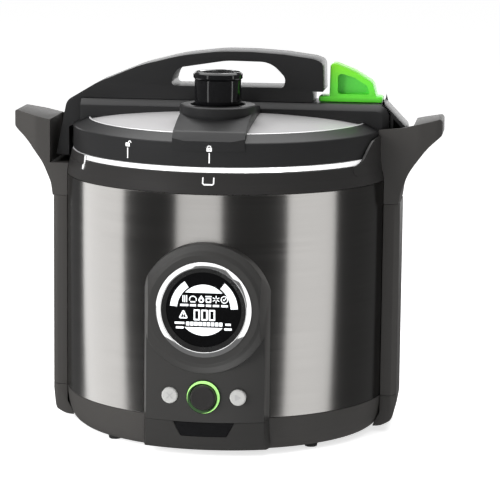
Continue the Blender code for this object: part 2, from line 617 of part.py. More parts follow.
def make_bridge():
    outline = rounded([(-149.4, 290), (-149.4, BRIDGE_TOP), (BRIDGE_END_X - 1, BRIDGE_TOP, 13),
                       (BRIDGE_END_X, LID_RING_BOTTOM), (140, LID_RING_BOTTOM)], steps=5)
    bridge = prism("lid_bridge", [outline], -BRIDGE_HALF, BRIDGE_HALF, "XZ", BLACK_PLASTIC)

    def on_front_edge(a, b):
        flat = abs(a.y - b.y) < 0.1
        return flat and min(a.z, b.z) > LID_RING_BOTTOM - 1 and max(a.z, b.z) > 300 and min(a.x, b.x) > -149

    def long_top(a, b):
        return abs(a.y - b.y) < 0.1 and min(a.z, b.z) > BRIDGE_TOP - 1

    weigh_edges(bridge, lambda a, b: on_front_edge(a, b) or long_top(a, b))
    round_edges(bridge, 6.5, 1, by_weight=True)
    cut(bridge, lid_envelope)
    cavity = block("bolt_cavity", (CAVITY_LEFT, -9, 322.3), (162, 9, 331))
    slot = block("lever_slot", (116, -5, 328), (150, 5, 340))
    mouth = block("bolt_mouth", (155, -5.5, 323.2), (170, 5.5, 330.4))
    cut(bridge, cavity, slot, mouth)


def make_arch():
    bottom = BRIDGE_TOP + GAP
    end_x = LEVER_WALL_X - 5.8
    outer = rounded([
        (-175.8, 275.0, 1.5), (-164.8, 331.0, 12), (-133, 350.2, 60), (-90, 368.2, 120), (-47, 379.4, 200),
        (-6, HEIGHT, 120), (26, HEIGHT, 120), (58, 382.4, 60), (89, 378.4, 40), (end_x - 1, 374.6, 6), (end_x, 345.4, 1),
        (87.4, 345.4), (87.4, bottom), (-149.7, bottom), (-149.7, 310), (-162.3, 304), (-162.5, 275.0)], steps=2)
    window = rounded([(-57.5, 348.3, 4), (-52.5, 366.5, 14), (0, 375.0, 80), (45, 374.4, 26), (60.5, 358, 14),
                      (57.5, 348.6, 4)], steps=2)
    arch = prism("lid_handle", [outer, window], -HANDLE_HALF, HANDLE_HALF, "XZ", BLACK_PLASTIC)
    round_edges(arch, 3.6, 1, 65)
    cut(arch, lid_envelope)


def make_latch():
    bottom = BRIDGE_TOP + GAP
    inner_x = BRIDGE_END_X + GAP
    leg_outline = rounded([
        (157.6, bottom), (157.6, 335.6, 0.8), (159.4, 335.0, 1.5), (182.0, 311.8, 6), (184.0, 304.0, 6), (184.0, 275, 3),
        (168.5, 275, 1), (inner_x, 284.0), (inner_x, 326.0, 3), (161.0, 331.6, 3), (160.5, bottom)], steps=3)
    leg = prism("latch_leg", [leg_outline], -LATCH_HALF, LATCH_HALF, "XZ", BLACK_PLASTIC)
    pocket = [(169.4, 290), (169.4, 319.8), (179.2, 309.6), (180.6, 303), (180.6, 290)]
    cut(leg, prism("leg_pocket_front", [pocket], -LATCH_HALF - 2, -WEB_HALF, "XZ"))
    cut(leg, prism("leg_pocket_rear", [pocket], WEB_HALF, LATCH_HALF + 2, "XZ"))

    wall_right = LEVER_WALL_X + 6.5
    lever_outline = rounded([
        (93.0, bottom + 0.3), (93.0, 340.0), (LEVER_WALL_X - 0.6, 340.2), (LEVER_WALL_X, 373.0, 3),
        (wall_right - 0.6, 373.0, 3), (129.5, 365.4), (147.5, 354.2, 8), (151.2, 340.2), (157.0, 340.0),
        (157.0, bottom + 0.3)], steps=2)
    lever = prism("lock_lever", [lever_outline], -13, 13, "XZ", GREEN_PLASTIC)
    round_edges(lever, 0.8, 1, 60)
    inset = rounded([(wall_right + 1.2, 342.6, 3), (wall_right + 1.2, 364.5, 4), (129, 359.5), (142.0, 351.2, 4),
                     (144.6, 342.6, 2)], steps=2)
    front_inset = prism("lever_inset_front", [inset], -20, -5, "XZ")
    rear_inset = prism("lever_inset_rear", [inset], 5, 20, "XZ")
    cut(lever, front_inset, rear_inset)
    tab = block("lever_tab", (124, -4, 331.2), (144, 4, 336))
    join(lever, tab)

    block("lock_bolt", (116.5, -4.6, BOLT_Z - 2.9), (BRIDGE_END_X - 3.8, 4.6, BOLT_Z + 3.0), BRIGHT_STEEL, 0.8)
    coil("lever_spring", 3.2, 0.5, (CAVITY_LEFT + 0.4, 0, BOLT_Z), (116.1, 0, BOLT_Z), 5, SPRING_STEEL)


def make_regulator():
    # the nose, side view from the bridge forward to the ring
    nose_side = rounded([(-BRIDGE_HALF - GAP, 300), (-BRIDGE_HALF - GAP, 331.0), (-100, 331.0, 20), (-124, 326.0, 30),
                         (-150.5, 318.2, 6), (-158.6, 309.5, 2), (-160.0, 307.0), (-160.0, 300)], steps=3)
    housing = prism("regulator_housing", [nose_side], -NOSE_HALF, NOSE_HALF, "YZ", BLACK_PLASTIC)
    keep(housing, turned("nose_limit", [(0, 350), (160.2, 350), (160.2, 280), (0, 280)]))
    centre = (0, REGULATOR_Y, 0)
    collar = turned("collar", [(0, COLLAR_TOP), (COLLAR_R - 1.5, COLLAR_TOP), (COLLAR_R, COLLAR_TOP - 1.5),
                               (COLLAR_R, 329.0), (COLLAR_R - 3.5, 318.0), (0, 318.0)], None, 30, centre)
    join(housing, collar)
    cup = turned("collar_cup", [(0, 350), (28.5, 350), (27.0, COLLAR_TOP - 1), (27.0, 331.5), (7.4, 331.5),
                                (7.4, 300), (0, 300)], None, 20, centre)
    cut(housing, lid_envelope, cup)

    turned("vent_pipe", [(4.2, 346), (5.0, 345), (5.0, 326.0), (7.0, 326.0), (7.0, 321.8), (5.0, 321.8),
                         (5.0, 303.0), (1.8, 303.0), (1.8, 346)], BRIGHT_STEEL, 12, centre)
    nut = cylinder("vent_nut", 10.0, (0, REGULATOR_Y, 309.0), (0, REGULATOR_Y, 316.6), BRIGHT_STEEL, 6)
    cut(nut, cylinder("nut_bore", 5.4, (0, REGULATOR_Y, 300), (0, REGULATOR_Y, 320), None, 12))

    turned("regulator_body", [
        (0, REGULATOR_TOP), (21.5, REGULATOR_TOP), (24.6, REGULATOR_TOP - 1.6), (24.65, REGULATOR_TOP - 5.6),
        (23.4, REGULATOR_TOP - 7.2), (12.0, REGULATOR_TOP - 7.2), (12.0, 336.6), (16.0, 336.6), (16.0, 333.0),
        (6.0, 333.0), (6.0, 349.0), (0, 349.0)], GLOSS_BLACK, 24, centre)
    turned("regulator_weight", [(23.3, REGULATOR_TOP - 7.6), (23.3, 337.4), (22.8, 336.9), (12.4, 336.9),
                                (12.4, REGULATOR_TOP - 7.6)], GLOSS_BLACK, 24, centre)


# ------------------------------------------------------------------ joints
JOINT_CENTRES = {
    "lid_axis": ((0, 0, 300), ("sealing_ring", "lid_disc", "lid_ring", "lid_bridge", "lid_handle", "latch_leg",
                               "regulator_housing", "vent_pipe", "vent_nut", "gasket_holder", "overpressure_plug",
                               "air_vent_gasket", "lever_spring")),
    "regulator_axis": ((0, REGULATOR_Y, 340), ("regulator_body", "regulator_weight")),
    "lever_axis": ((125, 0, 337), ("lock_lever", "lock_bolt")),
    "knob_axis": ((0, -180, KNOB_Z), ("control_knob",)),
    "cancel_axis": ((-BUTTON_X, -176, KNOB_Z), ("cancel_button",)),
    "start_axis": ((BUTTON_X, -176, KNOB_Z), ("start_button",)),
    "air_vent_axis": ((*AIR_VENT, 315), ("air_vent_pin",)),
    "sensor_axis": ((0, 0, 60), ("temperature_sensor",)),
}


def add_joint_centres():
    for name, (place, riders) in JOINT_CENTRES.items():
        centre = bpy.data.objects.new(name, None)
        centre.empty_display_size = 0.02
        centre.location = [c * MM for c in place]
        parts.objects.link(centre)
        offset = Matrix.Translation(centre.location)
        for rider in riders:
            obj = bpy.data.objects[rider]
            obj.parent = centre
            obj.matrix_parent_inverse = offset.inverted()


def bake_and_smooth():
    """Apply every modifier, then shade the round faces smooth and keep the edges crisp."""
    bpy.context.view_layer.update()
    graph = bpy.context.evaluated_depsgraph_get()
    for obj in [o for o in parts.objects if o.type == "MESH"]:
        baked = bpy.data.meshes.new_from_object(obj.evaluated_get(graph))
        obj.modifiers.clear()
        obj.data = baked
        baked.shade_smooth()
        baked.set_sharp_from_angle(angle=math.radians(35))


make_drum()
make_sides()
make_front()
make_rear()
make_inside()
make_lid()
bake_and_smooth()
add_joint_centres()
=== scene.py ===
import json
import math

import bmesh
import bpy
from mathutils import Matrix, Vector

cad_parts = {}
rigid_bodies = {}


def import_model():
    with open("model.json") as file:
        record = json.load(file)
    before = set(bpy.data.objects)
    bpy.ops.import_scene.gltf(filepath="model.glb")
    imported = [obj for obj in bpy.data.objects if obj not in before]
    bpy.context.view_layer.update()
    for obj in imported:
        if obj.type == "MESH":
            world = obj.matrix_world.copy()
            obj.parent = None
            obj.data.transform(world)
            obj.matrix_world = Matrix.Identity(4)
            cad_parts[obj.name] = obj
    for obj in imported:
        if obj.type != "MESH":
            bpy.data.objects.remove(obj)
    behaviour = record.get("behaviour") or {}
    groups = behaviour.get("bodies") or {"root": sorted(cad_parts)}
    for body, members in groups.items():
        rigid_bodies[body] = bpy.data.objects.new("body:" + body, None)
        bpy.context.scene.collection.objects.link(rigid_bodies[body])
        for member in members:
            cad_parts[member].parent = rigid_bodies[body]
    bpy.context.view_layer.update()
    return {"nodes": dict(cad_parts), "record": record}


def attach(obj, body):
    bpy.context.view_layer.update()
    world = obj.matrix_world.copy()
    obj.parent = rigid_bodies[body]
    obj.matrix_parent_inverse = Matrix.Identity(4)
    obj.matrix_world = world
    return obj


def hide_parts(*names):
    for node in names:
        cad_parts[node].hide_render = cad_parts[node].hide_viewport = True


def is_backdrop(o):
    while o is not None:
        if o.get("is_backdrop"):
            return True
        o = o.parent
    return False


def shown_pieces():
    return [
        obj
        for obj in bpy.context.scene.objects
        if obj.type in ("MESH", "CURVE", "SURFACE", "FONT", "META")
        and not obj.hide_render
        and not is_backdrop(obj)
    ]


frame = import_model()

MM = 0.001
GAP = 0.3

# facets round a turned piece
FINE = 384                     # thin rings, and the curved front panel
DRUM = 256                     # the steel shell, and what is cut to it
ROUND = 192                    # the other large rings
BEZEL = 160                    # the display's bright ring
INNER = 128                    # liner, pot, rack, seal and lens
MEDIUM = 96                    # knob, regulator and its collar
SMALL = 64                     # feet and buttons
VENT = 48                      # vent pin and relief plug

# sizes repeated from the CAD, in millimetres
WIDTH, DEPTH, HEIGHT = 438.1, 368.3, 384.3
SHELL_R, SHELL_TOP, BASE_TOP, BASE_LOW = 165.5, 258.4, 37.6, 4.3
BAND_TOP_R, BAND_TOP = 161.0, 279.1
LID_RING_R, LID_RING_BOTTOM, LID_RING_TOP = 159.2, 284.6, 307.4
BRIDGE_TOP, BRIDGE_HALF, BRIDGE_END_X = 334.0, 31.0, 166.0
COLUMN_HALF, COLUMN_X, COLUMN_FACE_X, COLUMN_TOP = 35.5, 178.2, 173.0, 234.5
CAP_TOP, CAP_LOW = 36.8, 5.0
FOOT_CIRCLE_R, FOOT_ANGLE, SCREW_CIRCLE_R = 146.5, 47.5, 110.0
PANEL_R, PANEL_BOTTOM, FRONT_LOW = 177.0, 36.0, 7.0
PANEL_PLAN = [(-63.1, -150), (-53.2, -185), (53.2, -185), (63.1, -150)]
BADGE_LOW, BADGE_TOP = 22.0, 35.4
DIAL_Z, KNOB_Z, BUTTON_X, BUTTON_R = 148.5, 61.6, 33.5, 8.0
DIAL_FLAT_R, DIAL_FLANK_R, BEZEL_R, BORE_R, LENS_R = 53.8, 64.0, 47.1, 43.2, 36.4
LIGHT_RING_R, KNOB_R = 16.5, 12.4
MARK_FACE = 176.5              # the front of the marks on the buttons
ICON_SCALE = 0.962
REAR_HALF, REAR_LOW, REAR_TOP = 40.0, 42.0, 118.0
GRILLE_LOW, GRILLE_STEP = 97.4, 2.6
REGULATOR_Y, REGULATOR_TOP = -88.0, 370.5
LEVER_X = 104.3
LUG_COUNT, LUG_PITCH = 6, 60   # bayonet lugs and the degrees between them
AIR_VENT, OVERPRESSURE = (60.0, 90.0), (-60.0, 90.0)


# ------------------------------------------------------------------ materials
NOISE_LOW, NOISE_HIGH = 0.3, 0.7    # the part of the noise that colour and roughness follow


def fill(node, values):
    for socket, value in values.items():
        node.inputs[socket].default_value = value


def wire(tree, *routes):
    """Link nodes; each route is a node and its output, then a node and its input."""
    for source, output, target, entry in routes:
        tree.links.new(source.outputs[output], target.inputs[entry])


def surface(name, colour, rough, metallic=0.0, vary=0.06, rough_vary=0.06, scale=600.0, bump=0.1, depth=0.05,
            stretch=(1, 1, 1), fixed=()):
    """A finish with fine grain: colour, roughness and relief all follow the same noise.

    depth is the relief in millimetres. stretch scales the noise along x, y and z. fixed sets further inputs.
    """
    made = bpy.data.materials.new(name)
    made.use_nodes = True
    nodes = made.node_tree.nodes
    shader = nodes["Principled BSDF"]
    place = nodes.new("ShaderNodeTexCoord")
    mapping = nodes.new("ShaderNodeMapping")
    noise = nodes.new("ShaderNodeTexNoise")
    ramp = nodes.new("ShaderNodeValToRGB")
    spread = nodes.new("ShaderNodeMapRange")
    relief = nodes.new("ShaderNodeBump")
    fill(shader, {"Metallic": metallic, **dict(fixed)})
    fill(mapping, {"Scale": stretch})
    fill(noise, {"Scale": scale, "Detail": 4.0})
    fill(spread, {"From Min": NOISE_LOW, "From Max": NOISE_HIGH, "To Min": max(0.02, rough - rough_vary),
                  "To Max": rough + rough_vary})
    fill(relief, {"Strength": bump, "Distance": depth * MM})
    dark, light = ramp.color_ramp.elements
    dark.position, light.position = NOISE_LOW, NOISE_HIGH
    dark.color = (*[c * (1 - vary) for c in colour], 1)
    light.color = (*[min(1.0, c * (1 + vary)) for c in colour], 1)
    wire(made.node_tree, (place, "Object", mapping, "Vector"), (mapping, "Vector", noise, "Vector"),
         (noise, "Fac", ramp, "Fac"), (ramp, "Color", shader, "Base Color"),
         (noise, "Fac", spread, "Value"), (spread, "Result", shader, "Roughness"),
         (noise, "Fac", relief, "Height"), (relief, "Normal", shader, "Normal"))
    return made


def paint_light_by_height(made, low, high, lit_colour):
    """Painted light: blend the colour towards a lit-looking one between two heights, in millimetres."""
    nodes, links = made.node_tree.nodes, made.node_tree.links
    shader = nodes["Principled BSDF"]
    grain = shader.inputs["Base Color"].links[0].from_socket
    place = nodes.new("ShaderNodeTexCoord")
    parts = nodes.new("ShaderNodeSeparateXYZ")
    rise = nodes.new("ShaderNodeMapRange")
    fill(rise, {"From Min": low * MM, "From Max": high * MM})
    blend = nodes.new("ShaderNodeMix")
    blend.data_type = "RGBA"
    fill(blend, {"B": (*lit_colour, 1)})
    links.new(grain, blend.inputs["A"])
    wire(made.node_tree, (place, "Object", parts, "Vector"), (parts, "Z", rise, "Value"),
         (rise, "Result", blend, "Factor"), (blend, "Result", shader, "Base Color"))


ROUND_BRUSH = (9, 9, 1400)     # long streaks round the drum, fine across
STEEL_DARK = surface("black_stainless", (0.115, 0.112, 0.108), 0.24, 1.0, 0.10, 0.03, 1.0, 0.05, 0.02,
                     ROUND_BRUSH, (("Anisotropic", 0.85), ("Anisotropic Rotation", 0.25)))
STEEL_PLAIN = surface("plain_steel", (0.66, 0.66, 0.67), 0.30, 1.0, 0.06, 0.07, 700, 0.08, 0.03)
DISC_METAL = surface("lid_aluminium", (0.56, 0.552, 0.556), 0.42, 0.15, 0.02, 0.05, 900, 0.10, 0.02,
                     (1, 1, 0.2))
BRIGHT_RING = surface("bright_ring", (0.84, 0.84, 0.845), 0.30, 0.35, 0.02, 0.05, 1.0, 0.04, 0.02,
                      ROUND_BRUSH)
STEEL_CONE = surface("dark_chrome", (0.16, 0.16, 0.16), 0.26, 1.0, 0.08, 0.05, 60, 0.05, 0.02)
CHROME = surface("chrome", (0.90, 0.90, 0.90), 0.07, 1.0, 0.01, 0.02, 400, 0.02, 0.01)
PLASTIC = surface("charcoal_plastic", (0.046, 0.0435, 0.041), 0.50, 0.0, 0.08, 0.05, 1500, 0.25, 0.06)
LID_PLASTIC = surface("lid_plastic", (0.016, 0.016, 0.0165), 0.40, 0.0, 0.08, 0.05, 1500, 0.22, 0.06)
BAND_PLASTIC = surface("band_plastic", (0.022, 0.021, 0.0205), 0.36, 0.0, 0.08, 0.04, 1300, 0.15, 0.04)
PANEL_PLASTIC = surface("panel_plastic", (0.028, 0.0272, 0.026), 0.44, 0.0, 0.07, 0.05, 1600, 0.20, 0.05)
GLOSS = surface("gloss_black", (0.004, 0.004, 0.0045), 0.10, 0.0, 0.20, 0.02, 300, 0.008, 0.005)
GLASS_BLACK = surface("display_glass", (0.0015, 0.0015, 0.0018), 0.05, 0.0, 0.20, 0.01, 200, 0.01, 0.01,
                      fixed=(("Specular IOR Level", 0.3),))
GREEN = surface("green_plastic", (0.13, 0.78, 0.045), 0.38, 0.0, 0.04, 0.05, 900, 0.10, 0.04)
# painted light: the lever's green turns yellower towards its top, where its edges catch the light
paint_light_by_height(GREEN, 350.0, 376.0, (0.20, 0.62, 0.02))
# painted shade: a darker copy of the lever's green, for the floors of its recesses
GREEN_RECESS_SHADE = surface("green_painted_shade", (0.10, 0.60, 0.065), 0.42, 0.0, 0.04, 0.05, 900, 0.10, 0.04)
GREEN_DIM = surface("green_dim", (0.03, 0.075, 0.025), 0.35, 0.0, 0.06, 0.04, 500, 0.05, 0.03)
GREEN_LIGHT = surface("green_light", (0.38, 0.78, 0.22), 0.30, 0.0, 0.04, 0.04, 500, 0.05, 0.03,
                      fixed=(("Emission Color", (0.36, 0.80, 0.20, 1)), ("Emission Strength", 0.35)))
BUTTON = surface("button_grey", (0.40, 0.40, 0.39), 0.40, 0.0, 0.05, 0.05, 1200, 0.12, 0.04)
BUTTON_MARK = surface("button_mark", (0.33, 0.33, 0.33), 0.45, 0.0, 0.04, 0.04, 1200, 0.05, 0.02)
WHITE = surface("white_print", (0.86, 0.86, 0.86), 0.50, 0.0, 0.02, 0.04, 1500, 0.05, 0.02)
LCD = surface("lit_segment", (0.80, 0.82, 0.83), 0.40, 0.0, 0.02, 0.03, 900, 0.03, 0.02,
              fixed=(("Emission Color", (0.93, 0.96, 1.0, 1)), ("Emission Strength", 0.45)))
RUBBER = surface("black_rubber", (0.018, 0.018, 0.018), 0.80, 0.0, 0.15, 0.08, 900, 0.35, 0.10)
SILICONE = surface("grey_silicone", (0.42, 0.42, 0.41), 0.58, 0.0, 0.05, 0.06, 700, 0.15, 0.06)
ALUMINIUM = surface("pressed_aluminium", (0.70, 0.70, 0.70), 0.36, 1.0, 0.05, 0.07, 1.0, 0.10, 0.03,
                    (30, 30, 500))
BOARD = surface("circuit_board", (0.015, 0.13, 0.05), 0.45, 0.0, 0.25, 0.06, 250, 0.10, 0.04)
BRASS = surface("brass_pin", (0.75, 0.58, 0.28), 0.25, 1.0, 0.06, 0.05, 700, 0.06, 0.02)
SLOTS = {"dark_brushed_steel": STEEL_DARK, "bright_steel": STEEL_PLAIN, "satin_aluminium": DISC_METAL,
         "chrome": CHROME, "charcoal_plastic": PLASTIC, "black_plastic": LID_PLASTIC, "gloss_black": GLOSS,
         "green_plastic": GREEN, "green_light": GREEN_LIGHT, "button_grey": BUTTON, "black_rubber": RUBBER,
         "grey_silicone": SILICONE, "cast_aluminium": ALUMINIUM, "spring_steel": STEEL_PLAIN,
         "circuit_board": BOARD, }
for entry in frame["record"]["subparts"]:
    node = frame["nodes"][entry["node"]]
    if not node.material_slots:
        node.data.materials.append(None)
    for place in node.material_slots:
        place.material = SLOTS[entry["material_slot"]]


# ------------------------------------------------------------------ mesh tools
def link(name, mesh):
    obj = bpy.data.objects.new(name, mesh)
    bpy.context.scene.collection.objects.link(obj)
    return obj


def arcs(points, default=0.0, steps=5):
    """Replace each corner (u, v, radius) by an arc; a corner without a radius takes the default."""
    outline = []
    count = len(points)
    for i, corner in enumerate(points):
        here = Vector(corner[:2])
        radius = corner[2] if len(corner) > 2 else default
        before = Vector(points[i - 1][:2]) - here
        after = Vector(points[(i + 1) % count][:2]) - here
        straight = before.length == 0 or after.length == 0 or abs(before.angle(after) - math.pi) < 0.01
        if radius <= 0 or straight:
            outline.append(tuple(here))
            continue
        half = before.angle(after) / 2
        reach = min(radius / math.tan(half), 0.49 * before.length, 0.49 * after.length)
        radius = reach * math.tan(half)
        middle = here + (before.normalized() + after.normalized()).normalized() * (radius / math.sin(half))
        start = here + before.normalized() * reach - middle
        turn = start.angle_signed(here + after.normalized() * reach - middle)
        for k in range(steps + 1):
            c, s = math.cos(-turn * k / steps), math.sin(-turn * k / steps)
            outline.append((middle.x + c * start.x - s * start.y, middle.y + s * start.x + c * start.y))
    return outline


def flow(points, each=6):
    """A smooth curve through the points (Catmull-Rom)."""
    ends = [points[0], *points, points[-1]]
    out = []
    for i in range(1, len(ends) - 2):
        p = [Vector(q[:2]) for q in ends[i - 1:i + 3]]
        for k in range(each):
            t = k / each
            out.append(tuple(0.5 * (2 * p[1] + (p[2] - p[0]) * t
                                    + (2 * p[0] - 5 * p[1] + 4 * p[2] - p[3]) * t * t
                                    + (3 * p[1] - p[0] - 3 * p[2] + p[3]) * t ** 3)))
    return out + [tuple(points[-1][:2])]


def turned(name, profile, steps=ROUND, centre=(0, 0, 0), front=False, edge=0.0):
    """Revolve (radius, height) points; with front the axis points along -Y. edge rounds every corner."""
    points = arcs([(*p[:2], 0) if p[0] == 0 else p for p in profile], edge, 3)
    shape = bmesh.new()
    rings = []
    for r, z in points:
        if r < 1e-6:
            rings.append([shape.verts.new((0, 0, z * MM))])
        else:
            rings.append([shape.verts.new((r * MM * math.cos(math.tau * k / steps),
                                           r * MM * math.sin(math.tau * k / steps), z * MM))
                          for k in range(steps)])
    for i, ring in enumerate(rings):
        other = rings[(i + 1) % len(rings)]
        if len(ring) == 1 and len(other) == 1:
            continue
        for k in range(steps):
            n = (k + 1) % steps
            loop = [ring[k % len(ring)], ring[n % len(ring)], other[n % len(other)], other[k % len(other)]]
            shape.faces.new(list(dict.fromkeys(loop)))
    if front:
        shape.transform(Matrix.Rotation(math.radians(90), 4, "X"))
    shape.transform(Matrix.Translation([c * MM for c in centre]))
    bmesh.ops.recalc_face_normals(shape, faces=shape.faces)
    mesh = bpy.data.meshes.new(name)
    shape.to_mesh(mesh)
    shape.free()
    return link(name, mesh)


TURNS = {"XY": (0, 0, 0), "XZ": (math.pi / 2, 0, 0), "YZ": (math.pi / 2, 0, math.pi / 2)}


def prism(name, outlines, low, high, plane="XZ"):
    """Extrude flat outlines between two heights along the plane's normal; inner outlines are holes."""
    curve = bpy.data.curves.new(name, "CURVE")
    curve.dimensions = "2D"
    curve.fill_mode = "BOTH"
    curve.extrude = (high - low) / 2 * MM
    for outline in outlines:
        spline = curve.splines.new("POLY")
        spline.points.add(len(outline) - 1)
        for point, (u, v) in zip(spline.points, outline):
            point.co = (u * MM, v * MM, 0, 1)
        spline.use_cyclic_u = True
    middle = (low + high) / 2 * MM
    holder = link(name, curve)
    holder.rotation_euler = TURNS[plane]
    holder.location = {"XY": (0, 0, middle), "XZ": (0, middle, 0), "YZ": (middle, 0, 0)}[plane]
    bpy.context.view_layer.update()
    graph = bpy.context.evaluated_depsgraph_get()
    mesh = bpy.data.meshes.new_from_object(holder.evaluated_get(graph))
    place = holder.matrix_world.copy()
    bpy.data.objects.remove(holder)
    shape = bmesh.new()
    shape.from_mesh(mesh)
    bmesh.ops.remove_doubles(shape, verts=shape.verts, dist=0.000002)
    bmesh.ops.dissolve_limit(shape, angle_limit=math.radians(0.1), verts=shape.verts, edges=shape.edges)
    bmesh.ops.recalc_face_normals(shape, faces=shape.faces)
    shape.transform(place)
    shape.to_mesh(mesh)
    shape.free()
    return link(name, mesh)


def block(name, low, high):
    outline = [(low[0], low[1]), (high[0], low[1]), (high[0], high[1]), (low[0], high[1])]
    return prism(name, [outline], low[2], high[2], "XY")


def circle(cx, cy, radius, steps=48):
    return [(cx + radius * math.cos(math.tau * k / steps), cy + radius * math.sin(math.tau * k / steps))
            for k in range(steps)]


def sector(first, last, inner, outer, steps=20, centre=(0, 0)):
    angles = [math.radians(first + (last - first) * k / steps) for k in range(steps + 1)]
    ring = [(outer, a) for a in angles] + [(inner, a) for a in reversed(angles)]
    return [(centre[0] + r * math.cos(a), centre[1] + r * math.sin(a)) for r, a in ring]


def boolean(obj, tool, operation):
    step = obj.modifiers.new(tool.name, "BOOLEAN")
    step.operation = operation
    step.solver = "EXACT"
    step.object = tool
    tool["helper"] = True


def cut(obj, *tools):
    for tool in tools:
        boolean(obj, tool, "DIFFERENCE")


def keep(obj, *tools):
    for tool in tools:
        boolean(obj, tool, "INTERSECT")


def join(obj, *tools):
    for tool in tools:
        boolean(obj, tool, "UNION")


def soften(obj, width, segments=3, angle=35.0, weighted=False):
    edge = obj.modifiers.new("soft_edges", "BEVEL")
    edge.width = width * MM
    edge.segments = segments
    edge.limit_method = "WEIGHT" if weighted else "ANGLE"
    edge.angle_limit = math.radians(angle)


def bake(obj):
    bpy.context.view_layer.update()
    graph = bpy.context.evaluated_depsgraph_get()
    mesh = bpy.data.meshes.new_from_object(obj.evaluated_get(graph))
    obj.modifiers.clear()
    obj.data = mesh


def done(obj, finish, body, nodes=(), sharp=32.0):
    """Bake a piece, shade it, give it its finish, tie it to its body and hide the nodes it stands for."""
    bake(obj)
    obj.data.materials.clear()
    obj.data.materials.append(finish)
    obj.data.shade_smooth()
    obj.data.set_sharp_from_angle(angle=math.radians(sharp))
    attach(obj, body)
    nodes = (nodes,) if isinstance(nodes, str) else nodes
    if nodes:
        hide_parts(*nodes)
    return obj


# ------------------------------------------------------------------ drum
# the recess in a screw's head, and the solids that the outer pieces are cut to
SCREW_CROSS = [(-2, -0.35), (-0.35, -0.35), (-0.35, -2), (0.35, -2), (0.35, -0.35), (2, -0.35), (2, 0.35),
               (0.35, 0.35), (0.35, 2), (-0.35, 2), (-0.35, 0.35), (-2, 0.35)]
body_envelope = turned("body_envelope", [(0, 400), (LID_RING_R + 0.7, 400), (LID_RING_R + 0.7, 286.0),
                                         (BAND_TOP_R + 0.4, BAND_TOP), (164.5, 268.5), (165.75, 260.8),
                                         (SHELL_R + 0.4, 258.0), (SHELL_R + GAP, 20.0), (162.8, 14.0),
                                         (159.3, 7.0), (155.0, -10.0), (0, -10.0)])
lid_envelope = turned("lid_envelope", [
    (0, 324.9), (60, 323.3), (110, 319.3), (139, 315.6), (144.4, 315.7),
    (LID_RING_R + 0.4, LID_RING_TOP + 0.4), (LID_RING_R + 0.4, 240.0), (0, 240.0)])


def make_shell():
    shell = turned("shell_sheet", [(SHELL_R, SHELL_TOP, 1.0), (SHELL_R, BASE_TOP + GAP, 0.3),
                                   (SHELL_R - 1.2, BASE_TOP + GAP), (SHELL_R - 1.2, SHELL_TOP)], DRUM)
    done(shell, STEEL_DARK, "base", "outer_shell")
    outside = flow([(165.2, 37.3), (164.6, 28.0), (162.4, 16.0), (158.8, 8.0), (154.6, BASE_LOW)])
    skirt = turned("base_skirt", [(164.4, BASE_TOP), *outside, (146.0, BASE_LOW), (146.0, 7.3), (155.4, 7.3),
                                  (161.4, 26.0), (162.2, BASE_TOP)])
    done(skirt, PLASTIC, "base", "base_ring")


def make_band():
    guard = turned("band_guard", [(162.2, 304.0, 0.6), (162.6, BAND_TOP, 4), (164.0, 269.0), (158.0, 269.5),
                                  (158.0, 277.5), (161.0, BAND_TOP + 0.1), (161.0, 284.6), (160.2, 286.0),
                                  (160.2, 304.0, 0.6)], FINE)
    sweep = [(-90, 272), *flow([(-90, 279.3), (-83, 280.2), (-74, 284.6), (-65.5, 293.2), (-57, 300.0),
                                (-49.5, 302.4), (-COLUMN_HALF - GAP, 303.6)], 6), (-COLUMN_HALF - GAP, 265),
             (-80, 265)]
    keep(guard, prism("guard_sweep", [sweep], 120, 190, "YZ"))
    band = turned("upper_band", [(BAND_TOP_R, BAND_TOP, 1.4), (164.0, 268.5, 12), (165.2, 261.0, 8),
                                 (165.4, 258.7, 0.4), (162.6, 258.7), (160.8, 267.5), (143.0, 267.5),
                                 (143.0, 270.9), (153.2, 270.9), (153.2, BAND_TOP, 0.6)])
    join(band, guard)
    done(band, BAND_PLASTIC, "base", "top_band")


def make_lock_ring():
    lock = turned("bayonet_ring", [(159.3, 284.2, 0.5), (160.65, 279.4, 0.4), (153.0, 279.4), (153.0, 281.0),
                                   (147.4, 281.0, 0.5), (147.4, 284.2, 0.5)])
    gaps = [sector(LUG_PITCH * k + 14, LUG_PITCH * k + 46, 140.0, 152.6) for k in range(LUG_COUNT)]
    cut(lock, prism("ring_gaps", gaps, 280.2, 290.0, "XY"))
    done(lock, BRIGHT_RING, "base", "lock_ring")


def make_underside():
    plate = turned("floor_plate", [(0, 9.1), (154.0, 9.1, 0.3), (154.0, 7.6, 0.3), (0, 7.6)])
    slots = [sector(a - 12, a + 12, r - 2.2, r + 2.2, 8) for a in range(0, 360, 30) for r in (52, 62, 72)]
    cut(plate, prism("floor_slots", slots, 5, 12, "XY"))
    done(plate, STEEL_PLAIN, "base", "base_plate")
    for number in range(4):
        angle = math.radians((FOOT_ANGLE - 180, -FOOT_ANGLE, FOOT_ANGLE, 180 - FOOT_ANGLE)[number])
        x, y = FOOT_CIRCLE_R * math.cos(angle), FOOT_CIRCLE_R * math.sin(angle)
        foot = turned(f"rubber_foot_{number + 1}", [
            (0, 4.0), (7.0, 4.0, 0.4), (6.0, 0.0, 0.8), (3.4, 0.0), (2.8, 0.5), (0, 0.5)], SMALL, (x, y, 0))
        done(foot, RUBBER, "base", f"foot_{number + 1}")
        angle = math.radians(45 + 90 * number)
        x, y = SCREW_CIRCLE_R * math.cos(angle), SCREW_CIRCLE_R * math.sin(angle)
        screw = turned(f"floor_screw_{number + 1}", [
            (0, 7.3), (4.0, 7.3), (3.9, 6.2, 0.4), (2.4, 5.2, 0.3), (0, 5.2)], 32, (x, y, 0))
        cross = [(x + u, y + v) for u, v in SCREW_CROSS]
        cut(screw, prism(f"cross_{number}", [cross], 4.0, 6.3, "XY"))
        done(screw, STEEL_PLAIN, "base", f"base_screw_{number + 1}")


